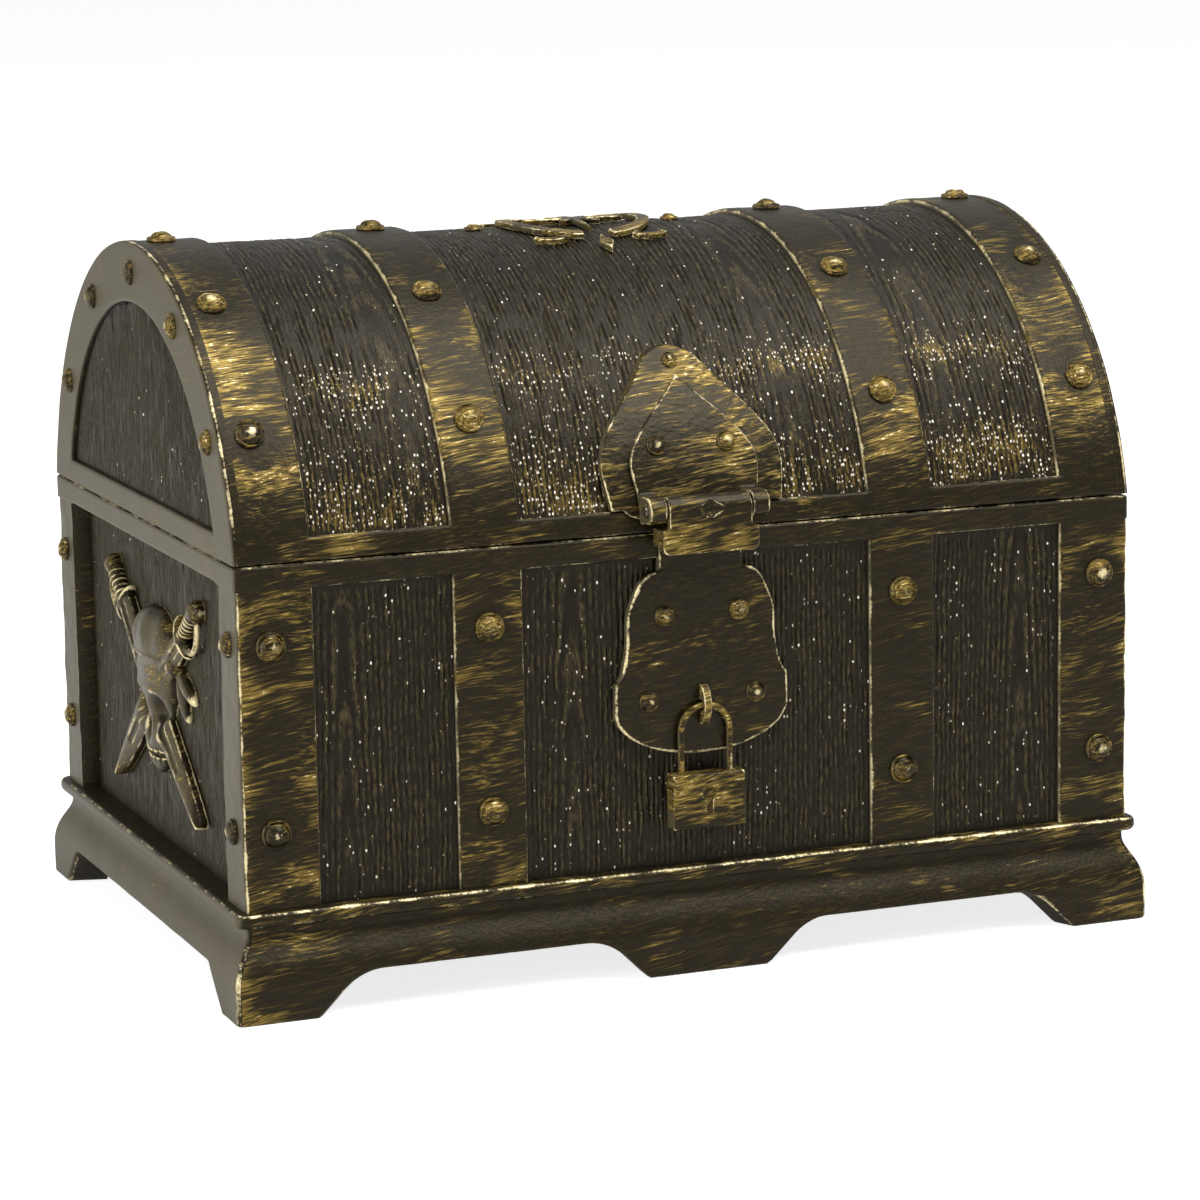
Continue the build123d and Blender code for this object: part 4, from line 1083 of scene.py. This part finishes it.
class CHEST_OT_rails(bpy.types.Operator):
    """The rail under the seam and the lip over the plinth, each all the way round"""

    bl_idname = "chest.rails"
    bl_label = "Rim Rail and Lip"

    def execute(self, context):
        sizes = context.scene.chest_sizes
        way = way_round(sizes.cell)
        front = on_front(way)
        self.rim_rail(way, front, sizes.edge_round)
        self.lip(way, front)
        return {"FINISHED"}

    def rim_rail(self, way, front, radius):
        """Rounded above, and below where it lies over a plank."""
        panels = [f"front_panel_{part}" for part in PARTS]
        end_low, end_high = span("left_end_panel")
        on_end = ~front & (np.abs(way[:, 1]) < (end_high[1] - end_low[1]) / 2)
        beside = (on_end | front & beside_planks(way[:, 0], panels))[:, None]
        bottom, top = RAIL_LOW[2], RAIL_HIGH[2]
        all_round = np.zeros((len(way), 1))
        turn = np.linspace(pi / 2, 0, 5)
        low_radius = np.where(beside, radius, 0.02)
        heights = np.concatenate([
            bottom + low_radius * (1 - np.sin(turn)),
            all_round + np.linspace(bottom + radius * 1.3, top - radius * 1.3, 5),
            all_round + top - radius * (1 - np.sin(turn[::-1])), all_round + [top, bottom],
        ], 1)
        offsets = np.concatenate([
            -low_radius * (1 - np.cos(turn)), all_round + np.zeros(5),
            all_round - radius * (1 - np.cos(turn[::-1])), all_round + [INSIDE, INSIDE],
        ], 1)
        near = np.minimum(top - heights, np.where(beside, heights - bottom, FAR))
        rub = np.exp(-near / 0.4)
        rub[:, -2:] = -2
        ring_piece("rim_rail", way, offsets, heights, rub, np.where(front, 0.01, 0.0), 1.0, 200)

    def lip(self, way, front):
        """A round nose, rubbed above and below."""
        bottom, top = LIP_LOW[2], LIP_HIGH[2]
        turn = np.linspace(-pi / 2, 0, 6)
        out = LIP_HIGH[0] - HALF_LENGTH - LIP_NOSE + LIP_NOSE * np.cos(turn)
        up = LIP_NOSE + LIP_NOSE * np.sin(turn)
        all_round = np.zeros((len(way), 1))
        offsets = all_round + np.concatenate([out, out[::-1], [INSIDE, INSIDE]])
        section = np.concatenate([bottom + up, top - up[::-1], [top, bottom]])
        upper = 1.3 * np.exp(-np.abs(section - top + 0.25) / 0.3)
        lower = 0.85 * np.exp(-np.abs(section - bottom - 0.3) / 0.25)
        rub = np.maximum(upper, lower)
        rub[-2:] = UNRUBBED
        rub = rub * np.where(front, 1.0, 0.8)[:, None]
        gold = np.where(front, 0.25, 0.02)
        ring_piece("lip_moulding", way, offsets, all_round + section, rub, gold, 0.7, 210)


def arch_rise(reach, height, corner):
    """The height of an arch's edge at a distance past its foot: slope, rounded corner and level edge."""
    slope = atan2(height, SLOPE_RUN)
    flat_from = SLOPE_RUN + corner * tan(slope / 2)
    straight = np.clip(reach, 0, None) * height / SLOPE_RUN
    rounded = height - corner + np.sqrt(np.maximum(corner**2 - (reach - flat_from) ** 2, 0))
    rounded = np.where(reach > flat_from, height, rounded)
    return np.where(reach < flat_from - corner * sin(slope), straight, rounded)


def skirt_height(way):
    """The plinth's lower edge at each station: sole, slope or arch."""
    flare = FOOT_HIGH[0] - HALF_LENGTH
    x = np.abs(way[:, 0]) * (1 + flare / HALF_LENGTH)
    y = np.abs(way[:, 1]) * (1 + flare / HALF_DEPTH)
    reach_x = np.minimum(HALF_LENGTH + flare - CORNER_FOOT - x, x - CENTRE_FOOT_HALF)
    reach_y = HALF_DEPTH + flare - END_FOOT - y
    height = np.where(on_front(way), arch_rise(reach_x, SKIRT_HEIGHT, FRONT_SKIRT_ROUND), 0)
    on_end = np.abs(np.cos(way[:, 2])) > 0.99
    return np.where(on_end, arch_rise(reach_y, SKIRT_HEIGHT, END_SKIRT_ROUND), height)


def hermite(z, start, end, start_slope, end_slope):
    """A smooth curve of reach over height between two points, each a height and a reach."""
    (z0, r0), (z1, r1) = start, end
    t = np.clip((z - z0) / (z1 - z0), 0, 1)
    rise = (z1 - z0) * (t * (1 - t) ** 2 * start_slope - t**2 * (1 - t) * end_slope)
    return r0 + (r1 - r0) * t**2 * (3 - 2 * t) + rise


def plinth_reach(z, flare):
    """How far the plinth's face stands out of the body: neck, belly, flare and rounded sole."""
    neck, belly, wide = (13.5, -0.4), (10.2, 1.05), (5.5, flare)
    belly_slope = -0.565
    upper = hermite(z, belly, neck, belly_slope, 0.0)
    lower = hermite(z, wide, belly, 0.0, belly_slope)
    return np.where(z > belly[0], upper, lower) - rounding(z, SOLE_ROUND)


class CHEST_OT_plinth(bpy.types.Operator):
    """The plinth with its feet, one moulding all the way round"""

    bl_idname = "chest.plinth"
    bl_label = "Plinth"

    def execute(self, context):
        way = way_round(PLINTH_STEP)
        sole = skirt_height(way)[:, None]
        top = LIP_LOW[2]
        heights = sole + (top - sole) * np.linspace(0, 1, PLINTH_ROWS) ** 1.15
        near = heights - sole
        offsets = plinth_reach(heights, FOOT_HIGH[0] - HALF_LENGTH)
        offsets -= np.where(sole > 0.3, rounding(near, SOLE_ROUND), 0)
        corner = np.abs(np.sin(2 * way[:, 2]))[:, None] > 0.1
        below_neck = heights < 12
        rub = np.maximum(0.85 * np.exp(-near / 0.45), 0.9 * corner * below_neck)
        inside = np.ones((len(way), 2))
        offsets = np.concatenate([offsets, INSIDE * inside], 1)
        rub = np.concatenate([rub, UNRUBBED * inside], 1)
        heights = np.concatenate([heights, top + 0 * sole, sole], 1)
        foot_reach = 16
        beyond = np.hypot(np.abs(way[:, 0]) - HALF_LENGTH, np.abs(way[:, 1]) - HALF_DEPTH) / foot_reach
        on_feet = np.maximum(0, 1 - beyond) * np.where(way[:, 0] < 0, 0.5, 0.15)
        gold = np.where(on_front(way), 0.05 + on_feet, 0.0)
        boards = [f"plinth_{part}" for part in ("front", "back", "left", "right")]
        ring_piece("plinth", way, offsets, heights, rub, gold, 1.1, 220, boards, True)
        return {"FINISHED"}


def dome_mesh(radius, height, seed):
    """A forged-looking stud about the origin, facing up: a thin collar, a groove and a dented dome."""
    outline = [(0.0, 1.0), (0.22, 0.985), (0.42, 0.9), (0.6, 0.74), (0.74, 0.5), (0.8, 0.34), (0.84, 0.3),
               (0.92, 0.36), (0.98, 0.26), (1.0, 0.0)]
    bm = bmesh.new()
    start = [bm.verts.new((radius * r, 0, height * h)) for r, h in outline]
    edges = [bm.edges.new(pair) for pair in zip(start, start[1:])]
    bmesh.ops.spin(bm, geom=start + edges, cent=(0, 0, 0), axis=(0, 0, 1), angle=2 * pi, steps=28,
                   use_merge=True, use_duplicate=False)
    bmesh.ops.remove_doubles(bm, verts=bm.verts[:], dist=0.0001)
    bmesh.ops.contextual_create(bm, geom=[edge for edge in bm.edges if edge.is_boundary])
    bmesh.ops.recalc_face_normals(bm, faces=bm.faces[:])
    mesh = mesh_from(bm, "stud")
    co = points_of(mesh)
    out = np.hypot(co[:, 0], co[:, 1]) / radius
    dome = (out < 0.8) * (co[:, 2] > 0.01)
    co[:, 2] += np.minimum(0.13 * height * (noise(co + 13.7 * seed, (0.9, 0.9, 0.9), seed) - 0.6) * dome, 0.0)
    set_points(mesh, co)
    # The pale rubbed patch over the dome's middle is partly a painted highlight; the collar's ring is rubbed
    rub = np.clip(1.15 - 1.3 * out, 0, 1) + 0.7 * (np.abs(out - 0.92) < 0.05)
    set_values(mesh, "rub", np.clip(rub, 0, 1))
    set_values(mesh, "brushed", np.full(len(co), 0.5))
    return mesh


def dome_place(points):
    """A dome's foot middle, outward direction, radius and height, from its points."""
    middle = points.mean(0)
    spread = points - middle
    _, _, axes = np.linalg.svd(spread, full_matrices=False)
    out = axes[2]
    along = spread @ out
    wide = np.linalg.norm(spread - np.outer(along, out), axis=1)
    if along[wide.argmax()] > 0:
        out, along = -out, -along
    foot = middle + out * along.min()
    flat = points[along < along.min() + 0.05]
    centre = flat.mean(0)
    foot = centre + out * ((foot - centre) @ out)
    return foot, out, wide.max(), along.max() - along.min()


def stud(points, seed, number):
    """A stud where the points of a CAD stud lie, turned by its own angle."""
    foot, out, radius, height = dome_place(points)
    mesh = dome_mesh(radius, height, seed + number)
    turn = Vector(out).to_track_quat("Z", "Y").to_matrix().to_4x4()
    spin = Matrix.Rotation(2.4 * number, 4, "Z")
    mesh.transform(Matrix.Scale(MM, 4) @ Matrix.Translation(foot) @ turn @ spin)
    return mesh


class CHEST_OT_studs(bpy.types.Operator):
    """Dome studs and rivets, each with a collar and dents of its own"""

    bl_idname = "chest.studs"
    bl_label = "Studs and Rivets"

    def execute(self, context):
        for group, (node_name, body) in enumerate(STUD_BODIES.items()):
            shells = shells_of(node_name)
            mesh = joined([stud(points, 300 + 50 * group, number) for number, points in enumerate(shells)])
            mend(mesh, CAD_WELD)
            finish_piece(node_name, mesh, body, DENTED)
        return {"FINISHED"}


class CHEST_OT_lock(bpy.types.Operator):
    """Lock plate, staple and padlock"""

    bl_idname = "chest.lock"
    bl_label = "Lock"

    def execute(self, context):
        cast_piece("lock_plate", "chest", CAST, 0.3, 2, 0.05, 0.06, 400)
        cast_piece("lock_staple", "chest", CAST, 0.14, 2, 0.5, 0.06, 400)
        cast_piece("padlock_body", "padlock", CAST, 0.16, 1, 0.44, 0.06, 400)
        cast_piece("padlock_shackle", "padlock", CAST, 0.14, 1, 0.5, 0.06, 400)
        return {"FINISHED"}


def flap_diamond(co):
    """A sunk diamond in the middle of the flap's barrel."""
    low, high = span("hasp_flap")
    half_width, half_height, deep = 2.6, 1.5, 0.7
    barrel_z = high[2] - 2.1
    inside = 1 - np.abs(co[:, 0]) / half_width - np.abs(co[:, 2] - barrel_z) / half_height
    co[:, 1] += deep * np.clip(inside * 1.4, 0, 1) * (co[:, 1] < low[1] + 1.6)
    return co


class CHEST_OT_hasp(bpy.types.Operator):
    """Hasp plates on the lid and the flap that closes over the lock plate"""

    bl_idname = "chest.hasp"
    bl_label = "Hasp"

    def execute(self, context):
        cast_piece("hasp_back_plate", "lid", CAST, 0.26, 2, 0.42, 0.06, 420)
        cast_piece("hasp_plate", "lid", CAST, 0.24, 2, 0.42, 0.06, 420)
        cast_piece("hasp_flap", "hasp", CAST, 0.2, 2, 0.5, 0.06, 420, flap_diamond)
        return {"FINISHED"}


class CHEST_OT_hinges(bpy.types.Operator):
    """The two hinges at the back"""

    bl_idname = "chest.hinges"
    bl_label = "Hinges"

    def execute(self, context):
        for part, _ in ENDS:
            cast_piece(f"box_hinge_leaf_{part}", "chest", CAST, 0.18, 1, 0.3, 0.03, 440)
            cast_piece(f"lid_hinge_leaf_{part}", "lid", CAST, 0.18, 1, 0.3, 0.03, 440)
        return {"FINISHED"}


class CHEST_OT_emblem(bpy.types.Operator):
    """The compass star in its wreath on top of the lid"""

    bl_idname = "chest.emblem"
    bl_label = "Emblem"

    def execute(self, context):
        cast_piece("lid_emblem", "lid", CAST_GOLD, 0.22, 2, 0.5, 0.08, 460)
        return {"FINISHED"}


def lump(bm, middle, size, turn=0.0):
    """Adds an ellipsoid at a place on the relief: across, up and out, turned in its plane, in millimetres."""
    place = Matrix.Translation(middle) @ Matrix.Rotation(turn, 4, "Z") @ Matrix.Diagonal((*size, 1))
    bmesh.ops.create_icosphere(bm, subdivisions=4, radius=1.0, matrix=place)


def cutlass(bm, tilt, bow_side):
    """Adds a cutlass, its hilt up and its point down: a bevelled blade, bound grip, guard and knuckle bow."""
    length, hilt = 59.5, 9.0
    start, end = hilt - length / 2, length / 2
    turn = Matrix.Rotation(tilt, 4, "Z")

    def place(a, b, d):
        share = (b - start) / (end - start)
        half = (2.3 + 1.0 * np.sin(pi * share)) * np.sqrt(np.clip(1.0 - share**5, 0.004, 1))
        return np.stack([b, a * half - 1.5 * np.sin(pi * share) + 0.4, d], 1)

    def shape(a, b, face):
        fuller = 0.55 * np.exp(-(((a - 0.3) / 0.14) ** 2)) * (b < end - 12)
        return 1.2 * (1 - np.abs(a) ** 1.6) - fuller, np.zeros(len(a)), np.zeros(len(a))

    blade = slab(lines(-1, 1, 0.08), lines(start, end, 0.5), place, 1.4, shape)
    blade.transform(turn @ Matrix.Scale(1 / MM, 4))
    bm.from_mesh(blade)
    bpy.data.meshes.remove(blade)
    for step in range(7):
        at = turn @ Vector((start - 1.0 - step * 1.15, 0, 1.0))
        lump(bm, at, (0.75, 1.25 + 0.1 * (step % 2), 1.6), tilt)
    lump(bm, turn @ Vector((start, 0, 0.8)), (0.9, 4.1, 2.0), tilt)
    lump(bm, turn @ Vector((start - hilt, 0, 0.7)), (1.9, 1.9, 2.0), tilt)
    side = Matrix.Translation(turn @ Vector((start - hilt / 2, 0, 1.2))) @ turn
    rim_place = side @ Matrix.Translation((hilt / 2, 0, 0)) @ Matrix.Rotation(pi / 2, 4, "X")
    verts = bmesh.ops.create_circle(bm, segments=8, radius=0.6, matrix=rim_place, cap_ends=True)["verts"]
    rim = verts + list({edge for vert in verts for edge in vert.link_edges})
    rim += list({face for vert in verts for face in vert.link_faces})
    bmesh.ops.spin(bm, geom=rim, cent=side.translation, axis=(0, 0, 1), angle=pi * bow_side, steps=14,
                   use_duplicate=False)


def skull_sculpt(u, v, w):
    """How far the relief rises or sinks at a place across, up and out."""

    def spot(x, y, reach_u, reach_v):
        return np.exp(-(((u - x) / reach_u) ** 2) - (((v - y) / reach_v) ** 2))

    front = np.clip(w / 1.2, 0, 1)
    eyes = sum(spot(4.0 * side, -1.6, 2.2, 2.0) for side in (-1, 1))
    cheeks = sum(spot(5.8 * side, -6.0, 1.9, 1.4) for side in (-1, 1))
    brow = sum(spot(3.9 * side, 1.2, 3.0, 0.9) for side in (-1, 1))
    nose = spot(0, -5.2, 1.0, 1.6)
    teeth = np.clip(1 - np.abs(v + 9.4) / 1.9, 0, 1) * (np.abs(u) < 4.2)
    gaps = teeth * (0.5 + 0.5 * np.cos(2 * pi * u / 1.5)) ** 3
    gaps += 1.2 * (np.abs(v + 9.4) < 0.3) * (np.abs(u) < 4.4)
    folds = np.clip((v - 7.2) / 2, 0, 1) * np.cos(0.9 * u + 0.5 * np.sin(0.5 * v))
    rise = -2.4 * eyes + 0.6 * cheeks + 0.45 * brow - 1.7 * nose - 0.5 * gaps + 0.22 * folds
    return rise * front


class CHEST_OT_end_reliefs(bpy.types.Operator):
    """Skull in a head scarf over crossed cutlasses, on both ends"""

    bl_idname = "chest.end_reliefs"
    bl_label = "End Reliefs"

    def execute(self, context):
        middle_z, face, tilt = 41.0, TUB_HALF_LENGTH + PANEL_THICK, radians(36)
        head = (
            ((0, 3.4, 0.2), (9.6, 9.6, 3.2)), ((0, -6.0, 0.3), (5.4, 7.0, 2.7)),
            ((0, 8.6, 0.2), (10.2, 6.0, 3.6)), ((0, 6.9, 0.3), (10.4, 1.4, 3.6)),
            ((11.5, 6.6, 0.5), (2.2, 2.0, 2.4)),
        )
        for part, side in ENDS:
            node_name = f"{part}_end_ornament"
            deepest = max(abs(corner[0]) for corner in span(node_name)) - face
            bm = bmesh.new()
            cutlass(bm, -tilt, -1)
            cutlass(bm, pi + tilt, 1)
            for middle, size in head:
                lump(bm, middle, size)
            for turn, reach in ((radians(-28), 5.0), (radians(-62), 4.6)):
                tail = Vector((11.9, 6.2, 0.3)) + Vector((cos(turn), sin(turn), 0)) * reach
                lump(bm, tail, (4.6, 1.3, 1.4), turn)
            axes = Matrix(((0, 0, side), (side, 0, 0), (0, 1, 0))).to_4x4()
            place = Matrix.Translation((side * face, MIDDLE_Y, middle_z)) @ axes
            bm.transform(Matrix.Scale(MM, 4) @ place)
            bmesh.ops.recalc_face_normals(bm, faces=bm.faces[:])

            def sculpt(co, side=side, deepest=deepest):
                u, v, w = side * (co[:, 1] - MIDDLE_Y), co[:, 2] - middle_z, side * co[:, 0] - face
                on_head = np.hypot(u / 11.5, (v - 1.0) / 15.5) < 1
                w = w + np.where(on_head, skull_sculpt(u, v, w), 0)
                co[:, 0] = side * (face + np.clip(w, -0.1, deepest))
                return co

            mesh = soften(mesh_from(bm, "relief"), 0.25 * COARSER, 1, 0.26, 0.06, 480, sculpt, 1.45)
            finish_piece(node_name, mesh, "chest", CARVED)
        return {"FINISHED"}


def area_light(name, place, size, power):
    """A soft white rectangular lamp at a place, facing the chest's middle, in metres and watts."""
    middle = Vector((0, 0, 0.06))
    lamp = bpy.data.lights.new(name, "AREA")
    lamp.shape = "RECTANGLE"
    lamp.size, lamp.size_y = size
    lamp.energy = power
    holder = bpy.data.objects.new(name, lamp)
    holder.location = place
    holder.rotation_euler = (middle - Vector(place)).to_track_quat("-Z", "Y").to_euler()
    bpy.context.scene.collection.objects.link(holder)


def add_floor():
    """A matt floor, white to the camera and pale in reflections, which keeps the chest's shadow."""
    bm = bmesh.new()
    bmesh.ops.create_grid(bm, x_segments=1, y_segments=1, size=6.0)
    mesh = mesh_from(bm, "floor")
    floor = bpy.data.objects.new("floor", mesh)
    bpy.context.scene.collection.objects.link(floor)
    material, node = start_material("Matt white studio floor")
    path = node("LightPath", out=None)
    diffuse = node("BsdfDiffuse", Color=(0.8, 0.8, 0.8))
    white = node("Emission", Color=(1, 1, 1), Strength=0.8)
    seen = node("Math", path["Is Glossy Ray"], 0.35, path["Is Camera Ray"], use_clamp=True, **TIMES_AND_ADD)
    surface = node("MixShader", seen, diffuse, node("AddShader", diffuse, white))
    node("OutputMaterial", Surface=surface, out=None)
    mesh.materials.append(material)


def add_world(scene):
    """A pale room that lights the chest evenly and is white to the camera."""
    scene.world = bpy.data.worlds.new("Studio")
    scene.world.use_nodes = True
    scene.world.node_tree.nodes.clear()
    node = partial(add, scene.world.node_tree)
    path = node("LightPath", out=None)
    plain = node("Background", Color=(1, 1, 1), Strength=0.2)
    white = node("Background", Color=(1, 1, 1), Strength=1.0)
    seen = node("Math", path["Is Glossy Ray"], 0.5, path["Is Camera Ray"], use_clamp=True, **TIMES_AND_ADD)
    node("OutputWorld", Surface=node("MixShader", seen, plain, white), out=None)


def add_camera(scene):
    """The camera at the photograph's place, from a fit of the chest's corners."""
    turn, lift, roll = radians(-21.297), radians(10.402), radians(-1.016)
    distance, focal, frame_width = 727.75, 4363.8, 1200
    target = Vector((3.80, MIDDLE_Y, 50.01)) * MM
    back = Vector((sin(turn) * cos(lift), -cos(turn) * cos(lift), sin(lift)))
    right = (-back).cross(Vector((0, 0, 1))).normalized()
    up = right.cross(-back)
    tilted_right = right * cos(roll) + up * sin(roll)
    tilted_up = -right * sin(roll) + up * cos(roll)
    camera = bpy.data.cameras.new("camera")
    camera.sensor_fit = "HORIZONTAL"
    camera.sensor_width = 36.0
    camera.lens = focal / frame_width * camera.sensor_width
    camera.clip_start = 0.05
    holder = bpy.data.objects.new("camera", camera)
    axes = Matrix((tilted_right, tilted_up, back)).transposed().to_4x4()
    holder.matrix_world = Matrix.Translation(target + back * distance * MM) @ axes
    scene.collection.objects.link(holder)
    scene.camera = holder


class CHEST_OT_stage(bpy.types.Operator):
    """Floor, lights and camera"""

    bl_idname = "chest.stage"
    bl_label = "Stage"

    def execute(self, context):
        add_floor()
        add_world(context.scene)
        area_light("key", (0.4, -0.58, 0.95), (0.45, 0.45), 7)
        area_light("top", (0.1, -0.2, 1.1), (1.0, 0.35), 9)
        area_light("left", (-0.9, -0.35, 0.45), (0.5, 0.5), 4.6)
        add_camera(context.scene)
        context.scene.view_settings.view_transform = "Standard"
        return {"FINISHED"}


STEPS = (
    CHEST_OT_inner_shells, CHEST_OT_planks, CHEST_OT_lid_planks, CHEST_OT_straps, CHEST_OT_lid_bands,
    CHEST_OT_lid_ends, CHEST_OT_rails, CHEST_OT_plinth, CHEST_OT_studs, CHEST_OT_lock, CHEST_OT_hasp,
    CHEST_OT_hinges, CHEST_OT_emblem, CHEST_OT_end_reliefs, CHEST_OT_stage,
)


class CHEST_PT_panel(bpy.types.Panel):
    """Lists the steps that dress the chest, with their sizes and colours"""

    bl_idname = "CHEST_PT_panel"
    bl_label = "Treasure Chest"
    bl_space_type = "VIEW_3D"
    bl_region_type = "UI"
    bl_category = "Chest"

    def draw(self, context):
        for group in (context.scene.chest_sizes, context.scene.chest_colours):
            for key in group.bl_rna.properties.keys():
                if key not in ("rna_type", "name"):
                    self.layout.prop(group, key)
        for step in STEPS:
            self.layout.operator(step.bl_idname)


CLASSES = (ChestSizes, ChestColours, *STEPS, CHEST_PT_panel)


def register():
    for cls in CLASSES:
        bpy.utils.register_class(cls)
    bpy.types.Scene.chest_sizes = bpy.props.PointerProperty(type=ChestSizes)
    bpy.types.Scene.chest_colours = bpy.props.PointerProperty(type=ChestColours)


def unregister():
    del bpy.types.Scene.chest_colours
    del bpy.types.Scene.chest_sizes
    for cls in reversed(CLASSES):
        bpy.utils.unregister_class(cls)


def main():
    register()
    for step in STEPS:
        group, name = step.bl_idname.split(".")
        getattr(getattr(bpy.ops, group), name)()


if __name__ == "__main__":
    main()
